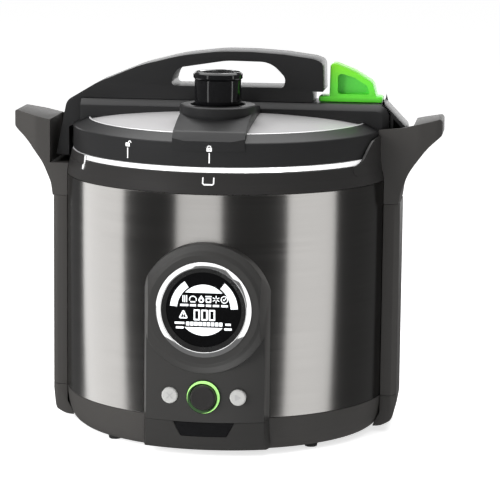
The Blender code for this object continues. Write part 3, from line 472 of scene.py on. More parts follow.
# ------------------------------------------------------------------ side handles and columns
def column_outline(inset=0.0, round_steps=4):
    half, outer, face = COLUMN_HALF - inset, COLUMN_X - inset, COLUMN_FACE_X - inset / 2
    return arcs([(145, -half), (face, -half, 1.5), (outer, -half + 10.5, 2.5),
                 (outer, half - 10.5, 2.5), (face, half, 1.5), (145, half)], 0, round_steps)


def side_handle(name, notch_wall):
    side = arcs([(150, COLUMN_TOP + GAP), (COLUMN_X - 1.0, COLUMN_TOP + GAP), (179.0, 248.0, 30),
                 (187.6, 268.5, 60), (204.5, 291.5, 80), (WIDTH / 2, 304.0, 4), (WIDTH / 2, 321.0, 3),
                 (199, 316.6, 60), (178, 311.8, 30), (150, 309.0)], 0, 10)
    grip = prism(name, [side], -COLUMN_HALF, COLUMN_HALF)
    plan = arcs([(140, -COLUMN_HALF), (196, -COLUMN_HALF, 20), (WIDTH / 2 + 1, -25, 14),
                 (WIDTH / 2 + 1, 25, 14), (196, COLUMN_HALF, 20), (140, COLUMN_HALF)], 0, 10)
    keep(grip, prism(name + "_plan", [plan], 200, 340, "XY"))
    bake(grip)
    soften(grip, 1.5, 4, 50)
    cut(grip, body_envelope, block(name + "_notch", (140, -31.5, 268.0), (notch_wall, 60, 340)))
    return grip


def to_left(obj):
    bake(obj)
    obj.data.transform(Matrix.Rotation(math.pi, 4, "Z"))


def make_sides():
    for side, notch_wall in (("right", 190.6), ("left", 180.0)):
        grip = side_handle(f"grip_{side}", notch_wall)
        cover = prism(f"column_{side}", [column_outline()], CAP_TOP + GAP, COLUMN_TOP, "XY")
        cut(cover, prism(f"column_hollow_{side}", [column_outline(2.5)], CAP_TOP - 10, COLUMN_TOP + 10, "XY"),
            body_envelope)
        cap_side = arcs([(145, CAP_LOW), (163, CAP_LOW + 0.6, 20), (174.6, 12.0, 10), (COLUMN_X + 1, CAP_TOP),
                         (145, CAP_TOP)], 0, 10)
        cap = prism(f"column_foot_{side}", [cap_side], -40, 40)
        keep(cap, prism(f"cap_plan_{side}", [column_outline()], 0, 60, "XY"))
        cut(cap, prism(f"cap_hollow_{side}", [column_outline(2.5)], 22.0, 60.0, "XY"), body_envelope)
        for obj in (cover, cap):
            soften(obj, 0.5, 2, 50)
        if side == "left":
            for obj in (grip, cover, cap):
                to_left(obj)
        done(grip, PLASTIC, "base", f"side_handle_{side}")
        done(cover, PLASTIC, "base", f"column_cover_{side}")
        done(cap, PLASTIC, "base", f"foot_cap_{side}")


# ------------------------------------------------------------------ front
def make_panel():
    tall = turned("front_body", [(PANEL_R, DIAL_Z), (PANEL_R, PANEL_BOTTOM), (160.0, PANEL_BOTTOM),
                                 (160.0, DIAL_Z)], FINE)
    pocket = turned("panel_pocket", [(0, 81.0), (PANEL_R - 2.6, 81.0), (PANEL_R - 2.6, 39.0), (0, 39.0)])
    keep(pocket, prism("pocket_plan", [[(-52, -190), (52, -190), (52, -140), (-52, -140)]], 0, 200, "XY"))
    cut(tall, turned("dial_footprint", [(0, 190), (56.5, 190), (56.5, 140), (0, 140)], ROUND, (0, 0, DIAL_Z),
                     True), pocket)
    dial = turned("dial", [(DIAL_FLAT_R, 181.0, 0.6), (57.5, 178.9, 8), (DIAL_FLANK_R, 177.3, 1.0),
                           (DIAL_FLANK_R + 0.2, 140.0), (51.5, 140.0), (51.5, 178.4), (BORE_R + 0.4, 178.4),
                           (BORE_R + 0.4, 181.0, 0.4)], ROUND, (0, 0, DIAL_Z), True)
    join(tall, dial)
    keep(tall, prism("panel_plan", [PANEL_PLAN], 0, 240, "XY"))
    cut(tall, turned("drum_side", [(0, 300), (SHELL_R + GAP, 300), (SHELL_R + GAP, 10), (0, 10)], DRUM))
    for x, radius in ((0, 6.0), (BUTTON_X, BUTTON_R + 0.5), (-BUTTON_X, BUTTON_R + 0.5)):
        cut(tall, turned(f"panel_hole_{x}", [(0, 190), (radius, 190), (radius, 168), (0, 168)], SMALL,
                         (x, 0, KNOB_Z), True))
    cut(tall, turned("light_seat", [(0, 190), (16.9, 190), (16.9, 175.6), (0, 175.6)], MEDIUM, (0, 0, KNOB_Z),
                     True))
    soften(tall, 0.5, 2, 50)
    done(tall, PANEL_PLASTIC, "base", "front_panel")


def make_lower_front():
    top = PANEL_BOTTOM - GAP
    face = flow([(PANEL_R, top), (176.7, 22.0), (174.6, 12.0), (171.0, FRONT_LOW)], 6)
    lower = turned("front_foot", [*face, (158.6, FRONT_LOW), (162.9, 15.4), (165.0, 27.0),
                                  (SHELL_R + GAP, top)], FINE)
    keep(lower, prism("foot_plan", [PANEL_PLAN], 0, 60, "XY"))
    seat = turned("badge_seat", [(190, 40), (190, 15), (175.1, 15.0), (175.4, 40)], FINE)
    outline = arcs([(-22.7, BADGE_LOW - 0.5, 2), (22.7, BADGE_LOW - 0.5, 2), (31.0, top + 1),
                    (-31.0, top + 1)], 0, 4)
    keep(seat, prism("seat_outline", [outline], -190, -160))
    cut(lower, seat)
    soften(lower, 0.4, 2, 50)
    done(lower, PANEL_PLASTIC, "base", "base_front")


def make_badge():
    badge = turned("badge", [(PANEL_R - 0.1, BADGE_TOP), (176.5, BADGE_LOW), (175.4, BADGE_LOW),
                             (175.8, BADGE_TOP)], FINE)
    outline = arcs([(-22.3, BADGE_LOW, 1.6), (22.3, BADGE_LOW, 1.6), (29.6, BADGE_TOP), (-29.6, BADGE_TOP)],
                   0, 4)
    keep(badge, prism("badge_outline", [outline], -190, -160))
    soften(badge, 0.25, 2, 50)
    done(badge, GLOSS, "base", "badge_plate")


def make_display():
    display = (0, 0, DIAL_Z)
    bezel = turned("display_ring", [(41.4, 183.6), (42.2, 184.0, 0.5), (BEZEL_R - 0.3, 182.0, 0.6),
                                    (BEZEL_R, 181.3), (BORE_R, 181.3), (BORE_R, 177.0), (LENS_R + GAP, 177.0),
                                    (LENS_R + GAP, 180.2), (40.9, 182.9)], BEZEL, display, True)
    done(bezel, CHROME, "base", "display_bezel", 28)
    cone = turned("inner_cone", [(LENS_R + GAP, 180.5), (LENS_R + 0.9, 180.8, 0.3), (41.3, 183.5),
                                 (41.3, 183.1), (LENS_R + GAP, 180.1)], BEZEL, display, True)
    done(cone, STEEL_CONE, "base", (), 28)
    lens = turned("display_window", [(0, 180.0), (LENS_R, 180.0, 0.3), (LENS_R, 177.6), (0, 177.6)], INNER,
                  display, True)
    done(lens, GLASS_BLACK, "base", "display_lens")


def make_knob():
    knob = (0, 0, KNOB_Z)
    ring = turned("light_ring", [(13.6, 178.4, 0.3), (15.9, 178.5, 0.6), (LIGHT_RING_R, 177.4),
                                 (LIGHT_RING_R, 176.0), (13.3, 176.0), (13.3, 178.0)], MEDIUM, knob, True)
    done(ring, GREEN_DIM, "base", "knob_light_ring")
    glow = prism("lit_crescent", [circle(0, KNOB_Z, 16.1, 96)], -178.75, -178.3)
    cut(glow, prism("crescent_inner", [circle(-1.0, KNOB_Z - 1.3, 14.7, 96)], -180, -177),
        prism("knob_clearance", [circle(0, KNOB_Z, 13.4, 96)], -180, -177))
    done(glow, GREEN_LIGHT, "base", ())
    cap = turned("knob_cap", [(0, 183.6), (8.2, 183.75, 6), (10.2, 184.15, 0.5), (11.1, 184.15, 0.6),
                              (KNOB_R, 182.4, 1.2), (KNOB_R + 0.4, 177.6, 0.3), (4.5, 177.6), (4.5, 173.6),
                              (0, 173.6)], MEDIUM, knob, True)
    done(cap, BAND_PLASTIC, "control_knob", "control_knob")


def make_buttons():
    for name, x, body in (("cancel_cap", -BUTTON_X, "cancel_button"),
                          ("start_cap", BUTTON_X, "start_button")):
        button = turned(name, [(0, 176.4), (BUTTON_R - 1.2, 176.4, 0.5), (BUTTON_R, 175.4, 0.6),
                               (BUTTON_R, 171.0), (0, 171.0)], SMALL, (x, 0, KNOB_Z), True)
        done(button, BUTTON, body, body)
    cross = []
    for turn in (45, 135):
        c, s = math.cos(math.radians(turn)), math.sin(math.radians(turn))
        cross.append([(-BUTTON_X + a * c - b * s, KNOB_Z + a * s + b * c)
                      for a, b in ((-4.2, -0.55), (4.2, -0.55), (4.2, 0.55), (-4.2, 0.55))])
    mark = prism("cancel_mark", [cross[0]], -MARK_FACE, 0.15 - MARK_FACE)
    join(mark, prism("cancel_mark_b", [cross[1]], -176.52, -176.35))
    done(mark, BUTTON_MARK, "cancel_button", ())
    arrow = arcs([(BUTTON_X - 2.8, KNOB_Z - 3.4), (BUTTON_X + 3.8, KNOB_Z), (BUTTON_X - 2.8, KNOB_Z + 3.4)],
                 0.6, 4)
    mark = prism("start_mark", [arrow], -MARK_FACE, 0.15 - MARK_FACE)
    done(mark, BUTTON_MARK, "start_button", ())


def bar(x1, z1, x2, z2, radius=0.3):
    return arcs([(x1, DIAL_Z + z1), (x2, DIAL_Z + z1), (x2, DIAL_Z + z2), (x1, DIAL_Z + z2)], radius, 2)


def ring_icon(x, z, outer, inner, first=0, last=360):
    if last - first == 360:
        return [circle(x, DIAL_Z + z, outer, 28), circle(x, DIAL_Z + z, inner, 28)]
    return [sector(first, last, inner, outer, 14, (x, DIAL_Z + z))]


def make_icons():
    """Lit shapes on the display: status fields, six step symbols, digits and a progress row."""
    shapes = []
    for radius, z, up in ((25.6, 17.2, 1), (26.6, -18.2, -1)):
        half = math.degrees(math.acos(abs(z) / radius))
        start = 90 - half if up > 0 else 270 - half
        angles = [math.radians(start + 2 * half * k / 24) for k in range(25)]
        shapes.append([(radius * math.cos(a), DIAL_Z + radius * math.sin(a)) for a in angles])
    shapes.append(sector(124.5, 174.5, 27.2, 34.4, 20, (0, DIAL_Z)))
    shapes.append(sector(2.5, 52.5, 27.4, 34.6, 20, (0, DIAL_Z)))
    for x1, x2 in ((-24.0, -15.6), (-14.0, -7.8), (-5.8, 0.5), (2.2, 7.5), (9.3, 15.6), (17.8, 24.5)):
        shapes.append(bar(x1, 3.2, x2, 5.4))
    z = 10.8
    for k in range(3):
        shapes.append(bar(-21.6 + 1.9 * k, z - 3.6, -20.6 + 1.9 * k, z + 3.6, 0.45))
    shapes += ring_icon(-11.0, z - 0.6, 3.9, 2.9, -20, 200)
    shapes.append(bar(-13.6, z - 3.6, -8.4, z - 2.3))
    drop = [(-2.5, DIAL_Z + z + 4.0)] + sector(-215, 35, 0.0, 2.9, 16, (-2.5, DIAL_Z + z - 1.0))[:17][::-1]
    shapes += [drop, circle(-2.5, DIAL_Z + z - 1.1, 1.3, 16)]
    shapes += [bar(2.0, z - 3.6, 7.6, z + 1.4, 0.8), bar(3.3, z - 2.2, 6.3, z + 0.2, 0.5),
               bar(1.6, z + 2.2, 8.0, z + 3.4)]
    for k in range(6):
        a = math.radians(30 + 60 * k)
        c, s = math.cos(a), math.sin(a)
        shapes.append([(12.5 + u * c - v * s, DIAL_Z + z + u * s + v * c)
                       for u, v in ((1.0, -0.4), (3.8, -0.4), (3.8, 0.4), (1.0, 0.4))])
    shapes += ring_icon(20.9, z, 3.8, 2.9)
    shapes.append([(u, DIAL_Z + w) for u, w in ((19.2, z + 0.1), (20.5, z - 1.5), (22.9, z + 1.5),
            (22.3, z + 2.0), (20.5, z - 0.3), (19.8, z + 0.7))])
    shapes.append(arcs([(-25.6, DIAL_Z - 9.5), (-15.6, DIAL_Z - 9.5), (-20.6, DIAL_Z + 0.4)], 1.2, 4))
    shapes.append(arcs([(-23.4, DIAL_Z - 8.3), (-17.8, DIAL_Z - 8.3), (-20.6, DIAL_Z - 2.4)], 0.5, 4))
    shapes += [bar(-21.0, -6.2, -20.2, -3.9, 0.2), bar(-21.0, -7.7, -20.2, -6.9, 0.2)]
    for x in (-10.2, -2.4, 5.2):
        shapes += [bar(x, -11.1, x + 6.5, 0.1, 0.6), bar(x + 1.6, -9.5, x + 4.9, -1.5, 0.3)]
    for k in range(9):
        shapes.append(bar(-17.8 + 4.2 * k, -16.6, -14.4 + 4.2 * k, -12.6))
    for x1, x2, low in ((-29.4, -19.6, -15.2), (-28.0, -20.2, -19.9), (22.0, 27.6, -15.6),
                        (21.0, 28.6, -20.4)):
        shapes.append(bar(x1, low, x2, low + 2.2))
    shapes = [[(x * ICON_SCALE, DIAL_Z + (z - DIAL_Z) * ICON_SCALE) for x, z in shape] for shape in shapes]
    lit = prism("display_symbols", shapes, -180.16, -180.04)
    done(lit, LCD, "base", ())


def make_rear():
    outline = arcs([(-REAR_HALF, REAR_LOW, 6), (REAR_HALF, REAR_LOW, 6), (REAR_HALF, REAR_TOP, 10),
                    (-REAR_HALF, REAR_TOP, 10)], 0, 8)
    housing = prism("rear_box", [outline], 150, DEPTH / 2)
    soften(housing, 3.0, 4, 60)
    cut(housing, body_envelope,
        block("rear_hollow", (3 - REAR_HALF, 140, REAR_LOW + 3),
              (REAR_HALF - 3, DEPTH / 2 - 2.5, REAR_TOP - 3)),
        block("inlet_window", (-14, 170, 68), (14, 190, 92)))
    for k in range(7):
        z = GRILLE_LOW + GRILLE_STEP * k
        cut(housing, block(f"grille_{k}", (-26, DEPTH / 2 - 0.7, z), (26, DEPTH / 2 + 2, z + 1.1)))
    done(housing, PLASTIC, "base", "rear_housing")
    inlet = block("inlet_body", (-13.6, 169.2, 68.4), (13.6, DEPTH / 2 - 0.4, 91.6))
    soften(inlet, 0.6, 2, 60)
    recess = arcs([(-11.4, 70.6, 1.5), (11.4, 70.6, 1.5), (11.4, 86.0, 0.5), (8.0, 89.4, 0.5),
                   (-8.0, 89.4, 0.5), (-11.4, 86.0, 0.5)], 0, 4)
    cut(inlet, prism("inlet_recess", [recess], 172.5, 190))
    done(inlet, BAND_PLASTIC, "base", "power_inlet")
    for number, (x, z) in enumerate(((-6.2, 78.2), (0, 82.4), (6.2, 78.2))):
        pin = block(f"inlet_pin_{number + 1}", (x - 0.9, 172.3, z - 2.0), (x + 0.9, 180.5, z + 2.0))
        soften(pin, 0.3, 2, 60)
        done(pin, BRASS, "base", ())


# ------------------------------------------------------------------ inside
def make_inside():
    liner = turned("liner_pot", [(12.0, 47.2), (132, 47.2, 6), (138, 53.0, 6), (138, 272.4, 2),
                                 (152.4, 272.4), (152.4, 271.2), (139.2, 271.2), (139.2, 52.0), (133, 46.0),
                                 (12.0, 46.0)], INNER)
    done(liner, STEEL_PLAIN, "base", "liner")
    pot = turned("inner_pot", [(0, 67.3), (128, 67.3, 8), (134, 73.3, 8), (134, 275.0, 2),
                               (143.5, 275.0, 0.8), (143.5, 272.7, 0.5), (136.5, 272.7), (136.5, 72.3),
                               (128.5, 64.3), (0, 64.3)], INNER)
    done(pot, ALUMINIUM, "base", "canning_pot")
    rack = turned("pot_rack", [(127.0, 77.0, 0.8), (127.0, 67.6), (125.6, 67.6), (125.6, 75.6), (16.0, 75.6),
                               (16.0, 77.0, 0.4)], INNER)
    holes = [circle(r * math.cos(a), r * math.sin(a), 9.0, 24)
             for r, n in ((48, 4), (92, 6)) for a in (math.tau * k / n for k in range(n))]
    cut(rack, prism("rack_holes", holes, 70, 90, "XY"))
    done(rack, STEEL_PLAIN, "base", "canning_rack")


# ------------------------------------------------------------------ lid
def make_lid():
    dome = flow([(0.0, 324.5), (60, 322.9), (110, 318.9), (140, 314.2)], 8)
    disc = turned("lid_dome", [*dome, (145.0, 310.5, 1.5), (146.4, 306.0, 2), (146.4, 280.6),
                               (152.0, 280.6, 0.4), (152.0, 277.5, 0.6), (144.4, 277.5), (144.4, 305.5),
                               (142.8, 308.6), (138.6, 311.6), (109.5, 316.4), (0, 322.0)])
    gaps = [sector(LUG_PITCH * k + 13, LUG_PITCH * k + 47, 146.8, 160.0) for k in range(LUG_COUNT)]
    cut(disc, prism("lug_gaps", gaps, 270, 284, "XY"))
    holes = [circle(0, REGULATOR_Y, 5.6), circle(*AIR_VENT, 6.6), circle(*OVERPRESSURE, 7.0)]
    cut(disc, prism("lid_holes", holes, 300, 330, "XY"))
    done(disc, DISC_METAL, "lid", "lid_disc")
    ring = turned("lid_rim", [(144.2, 315.2, 0.4), (158.4, 308.2, 0.6), (159.2, 307.2, 0.4),
                              (159.2, 284.6, 0.8), (156.4, 284.6), (156.4, 305.6), (147.2, 310.4),
                              (144.9, 312.3), (143.1, 313.2), (142.9, 314.9)])
    done(ring, LID_PLASTIC, "lid", "lid_ring")
    # painted highlight: a bright ring on the rim's inner lip stands in for the white line of reflected light
    # along the lid's edge
    rim_highlight = turned("painted_rim_highlight", [(143.6, 315.1), (142.6, 315.7, 0.3), (141.6, 315.3), (141.9, 314.7),
                               (143.1, 314.6)])
    done(rim_highlight, BRIGHT_RING, "lid", ())


def make_seal_and_valves():
    seal = turned("lid_seal", [(143.8, 286.0, 0.8), (143.8, 276.6, 0.8), (142.4, 275.3, 0.5),
                               (134.6, 275.3, 0.8), (134.6, 278.0, 0.5), (139.5, 280.0, 1),
                               (139.5, 286.0, 0.8)], INNER)
    done(seal, SILICONE, "sealing_ring", "sealing_ring")
    x, y = OVERPRESSURE
    plug = turned("relief_plug", [(0, 323.4), (7.5, 323.4, 1), (10.0, 320.6, 0.6), (6.6, 320.4), (6.6, 315.2),
                                  (8.6, 315.0, 0.5), (7.6, 311.6, 0.8), (0, 311.6)], VENT, (x, y, 0))
    done(plug, RUBBER, "lid", "overpressure_plug")
    x, y = AIR_VENT
    pin = turned("vent_pin", [(0, 323.8), (5.2, 323.8, 0.4), (5.6, 323.2), (5.6, 321.5, 0.2), (3.7, 321.5),
                              (3.7, 307.8), (7.0, 307.8, 0.3), (7.0, 305.6, 0.3), (0, 305.6)], VENT,
                 (x, y, 0))
    done(pin, STEEL_PLAIN, "air_vent_pin", "air_vent_pin")


def weigh(obj, chosen):
    """Give the full bevel weight to the edges whose two ends, in millimetres, are chosen."""
    shape = bmesh.new()
    shape.from_mesh(obj.data)
    layer = shape.edges.layers.float.new("bevel_weight_edge")
    for edge in shape.edges:
        if chosen(*(v.co / MM for v in edge.verts)):
            edge[layer] = 1.0
    shape.to_mesh(obj.data)
    shape.free()


def make_bridge():
    outline = arcs([(-149.4, 290), (-149.4, BRIDGE_TOP), (BRIDGE_END_X - 1, BRIDGE_TOP, 13),
                    (BRIDGE_END_X, LID_RING_BOTTOM), (140, LID_RING_BOTTOM)], 0, 10)
    bridge = prism("cross_bridge", [outline], -BRIDGE_HALF, BRIDGE_HALF)

    def front(a, b):
        return (abs(a.y - b.y) < 0.1 and min(a.z, b.z) > LID_RING_BOTTOM - 1 and max(a.z, b.z) > 300
                and min(a.x, b.x) > -149)

    weigh(bridge, lambda a, b: front(a, b) or (abs(a.y - b.y) < 0.1 and min(a.z, b.z) > BRIDGE_TOP - 1))
    soften(bridge, 6.5, 1, 30, True)
    bake(bridge)
    soften(bridge, 0.5, 2, 30)
    cut(bridge, lid_envelope, block("bolt_cavity", (96, -9, 322.3), (162, 9, 331)),
        block("lever_slot", (116, -5, 328), (150, 5, 340)),
        block("bolt_mouth", (155, -5.5, 323.2), (170, 5.5, 330.4)))
    done(bridge, LID_PLASTIC, "lid", "lid_bridge", 25)


def make_arch():
    bottom = BRIDGE_TOP + GAP
    end_x = LEVER_X - 5.8
    outer = arcs([
        (-175.8, 275.0, 1.5), (-164.8, 331.0, 12), (-133, 350.2, 60), (-90, 368.2, 120), (-47, 379.4, 200),
        (-6, HEIGHT, 120), (26, HEIGHT, 120), (58, 382.4, 60), (89, 378.4, 40), (end_x - 1, 374.6, 6),
        (end_x, 345.4, 1), (87.4, 345.4), (87.4, bottom), (-149.7, bottom), (-149.7, 310), (-162.3, 304),
        (-162.5, 275.0)], 0, 7)
    window = arcs([(-57.5, 348.3, 4), (-52.5, 366.5, 14), (0, 375.0, 80), (45, 374.4, 26), (60.5, 358, 14),
                   (57.5, 348.6, 4)], 0, 10)
    arch = prism("arched_grip", [outer, window], -23.0, 23.0)
    soften(arch, 3.4, 1, 65)
    bake(arch)
    soften(arch, 0.6, 2, 30)
    cut(arch, lid_envelope)
    done(arch, LID_PLASTIC, "lid", "lid_handle", 25)


def make_latch():
    bottom = BRIDGE_TOP + GAP
    inner_x = BRIDGE_END_X + GAP
    outline = arcs([(157.6, bottom), (157.6, 335.6, 0.8), (159.4, 335.0, 1.5), (182.0, 311.8, 6),
                    (184.0, 304.0, 6), (184.0, 275, 3), (168.5, 275, 1), (inner_x, 284.0),
                    (inner_x, 326.0, 3), (161.0, 331.6, 3), (160.5, bottom)], 0, 6)
    leg = prism("end_leg", [outline], -22.0, 22.0)
    soften(leg, 0.5, 2, 50)
    bake(leg)
    pocket = [(169.4, 290), (169.4, 319.8), (179.2, 309.6), (180.6, 303), (180.6, 290)]
    cut(leg, prism("pocket_front", [pocket], -24, -2), prism("pocket_rear", [pocket], 2, 24))
    done(leg, LID_PLASTIC, "lid", "latch_leg")


def make_lever():
    bottom = BRIDGE_TOP + GAP
    right = LEVER_X + 6.5
    outline = arcs([
        (93.0, bottom + 0.3), (93.0, 340.0, 1), (LEVER_X - 0.6, 340.2, 0.8), (LEVER_X, 373.0, 3),
        (right - 0.6, 373.0, 3), (129.5, 365.4), (147.5, 354.2, 8), (151.2, 340.2, 1.5), (157.0, 340.0, 1.5),
        (157.0, bottom + 0.3)], 0, 6)
    lever = prism("slide_lever", [outline], -13, 13)
    soften(lever, 0.9, 2, 50)
    inset = arcs([(right + 1.2, 342.6, 3), (right + 1.2, 364.5, 4), (129, 359.5), (142.0, 351.2, 4),
                  (144.6, 342.6, 2)], 0, 6)
    cut(lever, prism("inset_front", [inset], -20, -5), prism("inset_rear", [inset], 5, 20))
    join(lever, block("lever_tab", (124, -4, 331.2), (144, 4, 336)))
    done(lever, GREEN, "lock_lever", "lock_lever")
    # painted shade: a thin sheet of darker green laid on the floor of each recess
    small = arcs([(right + 1.35, 342.75, 2.9), (right + 1.35, 364.3, 3.9), (129, 359.3), (141.85, 351.1, 3.9),
                  (144.45, 342.75, 1.9)], 0, 6)
    for name, low in (("recess_shade_front", -5.2), ("recess_shade_rear", 4.95)):
        done(prism(name, [small], low, low + 0.25), GREEN_RECESS_SHADE, "lock_lever", ())


def make_regulator():
    side = arcs([(-BRIDGE_HALF - GAP, 300), (-BRIDGE_HALF - GAP, 331.0), (-100, 331.0, 20), (-124, 326.0, 30),
                 (-150.5, 318.2, 6), (-158.6, 309.5, 2), (-160.0, 307.0), (-160.0, 300)], 0, 8)
    housing = prism("regulator_nose", [side], -35.5, 35.5, "YZ")
    keep(housing, turned("nose_limit", [(0, 350), (160.2, 350), (160.2, 280), (0, 280)], DRUM))
    centre = (0, REGULATOR_Y, 0)
    join(housing, turned("collar", [(0, 338.3), (36.5, 338.3, 0.8), (38.0, 336.8, 0.8), (38.0, 329.0, 3),
                                    (34.5, 318.0), (0, 318.0)], MEDIUM, centre))
    cup = turned("collar_cup", [(0, 350), (28.5, 350), (27.4, 338.4), (27.0, 337.0), (27.0, 331.5),
                                (7.4, 331.5), (7.4, 300), (0, 300)], MEDIUM, centre)
    cut(housing, lid_envelope, cup)
    soften(housing, 0.5, 2, 45)
    done(housing, LID_PLASTIC, "lid", "regulator_housing")
    top = REGULATOR_TOP
    cap = turned("weight_cap", [(0, top - 0.4), (17.0, top - 0.4, 4), (19.5, top, 1.0), (22.0, top, 1.2),
                                (24.65, top - 2.0, 1.4), (24.65, top - 5.6, 0.8), (23.4, top - 7.2, 0.4),
                                (12.0, top - 7.2), (12.0, 336.6), (16.0, 336.6), (16.0, 333.0), (6.0, 333.0),
                                (6.0, 349.0), (0, 349.0)], MEDIUM, centre)
    done(cap, GLOSS, "regulator", "regulator_body")
    weight = turned("weight_sleeve", [(23.3, top - 7.6, 0.4), (23.3, 337.4, 0.5), (12.4, 336.9),
                                      (12.4, top - 7.6)], MEDIUM, centre)
    done(weight, GLOSS, "regulator", "regulator_weight")


def on_ring(shapes, radius, azimuth, body, name):
    """Flat marks laid against a ring, facing outwards at an azimuth in degrees."""
    mark = prism(name, shapes, -radius - 0.10, -radius + 0.25)
    mark.data.transform(Matrix.Rotation(math.radians(azimuth + 90), 4, "Z"))
    done(mark, WHITE, body, ())


def lock_icon(z, opened):
    shackle = sector(0, 180, 1.3, 2.1, 10, (2.6 if opened else 0, z + 1.6))
    return [arcs([(-2.6, z - 2.2), (2.6, z - 2.2), (2.6, z + 1.5), (-2.6, z + 1.5)], 0.4, 3),
            circle(0, z - 0.4, 0.6, 12), shackle]


def make_lid_marks():
    for name, azimuth, opened in (("locked", -89.5, False), ("open", -121.1, True)):
        line = [(-0.55, 288.4), (0.55, 288.4), (0.55, 298.6), (-0.55, 298.6)]
        on_ring([line], LID_RING_R, azimuth, "lid", name + "_line")
        on_ring(lock_icon(302.2, opened), LID_RING_R if opened else 160.2, azimuth, "lid", name + "_icon")


def make_index_mark():
    """A bracket printed on the band's sloping face."""
    cup = [(-5.9, 275.2), (-4.7, 275.2), (-4.7, 269.6), (-3.9, 268.8), (3.9, 268.8), (4.7, 269.6),
           (4.7, 275.2), (5.9, 275.2), (5.9, 269.0), (4.3, 267.4), (-4.3, 267.4), (-5.9, 269.0)]
    mark = prism("index_mark", [cup], -0.25, 0.15)
    lean = math.atan2(3.0, 10.6)
    mark.data.transform(Matrix.Translation((0, -163.15 * MM, 271.4 * MM))
                        @ Matrix.Rotation(-lean, 4, "X") @ Matrix.Translation((0, 0, -271.4 * MM)))
    mark.data.transform(Matrix.Rotation(math.radians(0.4), 4, "Z"))
    done(mark, WHITE, "base", ())


def make_ring_end():
    """Where the bright lock ring stops at the left: a short bright end, and a dark cover beyond it."""
    cover = turned("ring_cover", [(160.9, 284.0, 0.3), (161.7, 279.4), (162.0, 275.6), (163.2, 274.5),
                                  (163.2, 273.7), (162.4, 273.7), (161.2, 279.4), (160.0, 284.0)], FINE)
    keep(cover, prism("cover_plan", [sector(193.5, 213.6, 150, 170, 12)], 260, 300, "XY"))
    done(cover, BAND_PLASTIC, "base", ())
    tab = turned("ring_tab", [(161.1, 283.8, 0.2), (162.0, 275.6), (163.5, 274.5), (164.3, 270.0, 0.3),
                              (163.2, 270.0), (161.5, 276.0), (160.6, 283.8)], FINE)
    keep(tab, prism("tab_plan", [sector(213.9, 214.9, 150, 170, 4)], 260, 300, "XY"))
    done(tab, BRIGHT_RING, "base", ())


for make in (make_shell, make_band, make_lock_ring, make_underside, make_sides, make_panel, make_lower_front,
             make_badge, make_display, make_icons, make_knob, make_buttons, make_rear, make_inside, make_lid,
             make_bridge, make_arch, make_latch, make_lever, make_regulator, make_lid_marks, make_index_mark,
             make_ring_end, make_seal_and_valves):
    make()
for obj in list(bpy.data.objects):
    if obj.get("helper"):
        bpy.data.objects.remove(obj)


# ------------------------------------------------------------------ stage, lights and camera
FLOOR_SIDE, FLOOR_GLOW = 60.0, 0.68
AMBIENT, BACKDROP, MIRRORED = 0.34, 1.0, 0.16    # the world's strength for ordinary, camera and mirror rays
CAMERA_TURN = (7.36, 9.41, 0.52)                 # azimuth, elevation and roll, in degrees
CAMERA_AIM_Z, CAMERA_DISTANCE = 0.190, 2.650
CAMERA_SENSOR, CAMERA_LENS, CAMERA_SHIFT = 36.0, 184.87, (0.0436, -0.0252)
STRIP_HEIGHT = 2.4
CARD_COUNT, CARD_REACH, CARD_SIDE = 7, 1.05, 0.75


def make_stage():
    floor_mesh = bpy.data.meshes.new("floor")
    side = FLOOR_SIDE
    floor_mesh.from_pydata([(-side, -side, 0), (side, -side, 0), (side, side, 0), (-side, side, 0)], [],
                           [(0, 1, 2, 3)])
    floor = link("floor", floor_mesh)
    paint = bpy.data.materials.new("floor_paint")
    paint.use_nodes = True
    shader = paint.node_tree.nodes["Principled BSDF"]
    fill(shader, {"Base Color": (0.90, 0.90, 0.90, 1), "Roughness": 0.9, "Specular IOR Level": 0.0,
                  "Emission Color": (1, 1, 1, 1), "Emission Strength": FLOOR_GLOW})
    floor_mesh.materials.append(paint)
    floor.visible_glossy = False
    floor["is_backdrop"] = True

    world = bpy.data.worlds.new("studio")
    bpy.context.scene.world = world
    world.use_nodes = True
    tree = world.node_tree
    ambient = tree.nodes["Background"]
    backdrop = tree.nodes.new("ShaderNodeBackground")
    dim = tree.nodes.new("ShaderNodeBackground")
    for node, strength in ((ambient, AMBIENT), (backdrop, BACKDROP), (dim, MIRRORED)):
        fill(node, {"Color": (1, 1, 1, 1), "Strength": strength})
    path = tree.nodes.new("ShaderNodeLightPath")
    seen = tree.nodes.new("ShaderNodeMixShader")
    mirrored = tree.nodes.new("ShaderNodeMixShader")
    wire(tree, (path, "Is Camera Ray", seen, "Fac"), (ambient, "Background", seen, 1),
         (backdrop, "Background", seen, 2), (path, "Is Glossy Ray", mirrored, "Fac"),
         (seen, "Shader", mirrored, 1), (dim, "Background", mirrored, 2),
         (mirrored, "Shader", tree.nodes["World Output"], "Surface"))


def lamp(name, place, aim, width, height, radiance, only=None, in_diffuse=True):
    """A rectangular softbox, in metres. only lists the pieces that it lights; all of them cast shadows."""
    data = bpy.data.lights.new(name, "AREA")
    data.shape = "RECTANGLE"
    data.size = width
    data.size_y = height
    data.energy = radiance * math.pi * width * height
    obj = bpy.data.objects.new(name, data)
    bpy.context.scene.collection.objects.link(obj)
    obj.location = place
    obj.rotation_euler = (Vector(aim) - Vector(place)).to_track_quat("-Z", "Y").to_euler()
    obj.visible_camera = False
    obj.visible_diffuse = in_diffuse
    if only:
        group = bpy.data.collections.new(name + "_receivers")
        for piece in only:
            group.objects.link(bpy.data.objects[piece])
        obj.light_linking.receiver_collection = group
        blockers = bpy.data.collections.new(name + "_blockers")
        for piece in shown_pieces():
            if piece.name != "floor":
                blockers.objects.link(piece)
        obj.light_linking.blocker_collection = blockers


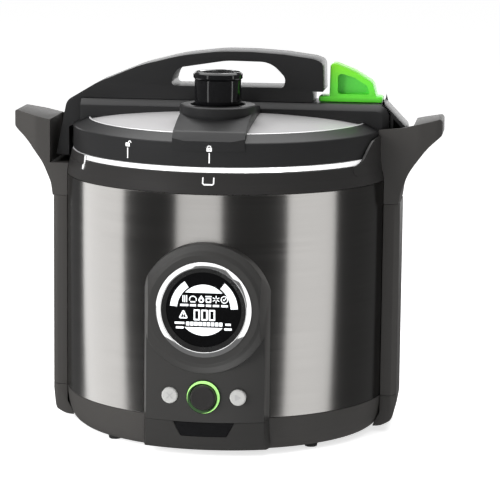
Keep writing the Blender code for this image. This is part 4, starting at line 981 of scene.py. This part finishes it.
def make_lights():
    steel = ["shell_sheet"]
    for name, x, y, width, radiance in (
            ("strip_left", -0.834, -0.059, 0.665, 5.0), ("strip_front", -0.171, -0.855, 0.450, 4.0),
            ("strip_right", 0.767, -0.382, 0.550, 4.6), ("strip_back", 0.10, 0.90, 0.50, 4.0)):
        lamp(name, (x, y, 0.0), (0, 0, 0.0), width, STRIP_HEIGHT, radiance, steel, False)
    gloss = ["weight_cap", "weight_sleeve"]
    for name, azimuth in (("glint_left", -130), ("glint_right", -14), ("glint_back", 95)):
        a = math.radians(azimuth)
        lamp(name, (1.2 * math.cos(a), 1.2 * math.sin(a), 0.5), (0, -0.088, 0.35), 0.11, 1.2, 3.0, gloss,
             False)
    chrome = ["display_ring"]
    for number in range(CARD_COUNT):
        turn = math.radians(-30 + 40 * number)
        place = (CARD_REACH * math.cos(turn), -CARD_REACH, 0.15 + CARD_REACH * math.sin(turn))
        lamp(f"ring_card_{number + 1}", place, (0, -0.18, 0.15), CARD_SIDE, CARD_SIDE, 1.2, chrome, False)
    lamp("overhead", (0, 0.30, 1.7), (0, 0, 0.3), 2.2, 1.6, 2.6)
    lamp("key", (-1.7, -1.6, 0.8), (0, 0, 0.2), 1.3, 1.3, 11.0)
    bpy.data.objects["key"].visible_glossy = False
    lamp("back_card", (0, 2.4, 0.55), (0, 0, 0.3), 4.0, 1.1, 2.2, None, False)
    lamp("under_dial", (0.05, -1.0, -0.75), (0, -0.18, 0.09), 0.45, 0.5, 4.0, ["front_body"], False)
    lamp("dial_glint", (-0.55, -1.25, 0.70), (0, -0.18, 0.17), 0.9, 0.35, 4.0, ["front_body"], False)
    lamp("ring_fill", (1.1, -1.7, 0.9), (0, 0, 0.28), 1.0, 1.0, 16.0, ["bayonet_ring", "ring_tab"])


def make_camera():
    azimuth, elevation, roll = (math.radians(v) for v in CAMERA_TURN)
    ahead = Vector((-math.sin(azimuth) * math.cos(elevation), math.cos(azimuth) * math.cos(elevation),
                    -math.sin(elevation)))
    right = Vector((math.cos(azimuth), math.sin(azimuth), 0))
    up = right.cross(ahead)
    across = math.cos(roll) * right + math.sin(roll) * up
    upward = math.cos(roll) * up - math.sin(roll) * right
    data = bpy.data.cameras.new("camera")
    camera = bpy.data.objects.new("camera", data)
    bpy.context.scene.collection.objects.link(camera)
    data.sensor_width = CAMERA_SENSOR
    data.lens = CAMERA_LENS
    data.shift_x, data.shift_y = CAMERA_SHIFT
    place = Vector((0, 0, CAMERA_AIM_Z)) - ahead * CAMERA_DISTANCE
    camera.matrix_world = Matrix((
        (across.x, upward.x, -ahead.x, place.x), (across.y, upward.y, -ahead.y, place.y),
        (across.z, upward.z, -ahead.z, place.z), (0, 0, 0, 1)))
    data.clip_end = 100.0
    bpy.context.scene.camera = camera


make_stage()
make_lights()
make_camera()
bpy.context.scene.view_settings.view_transform = "Standard"
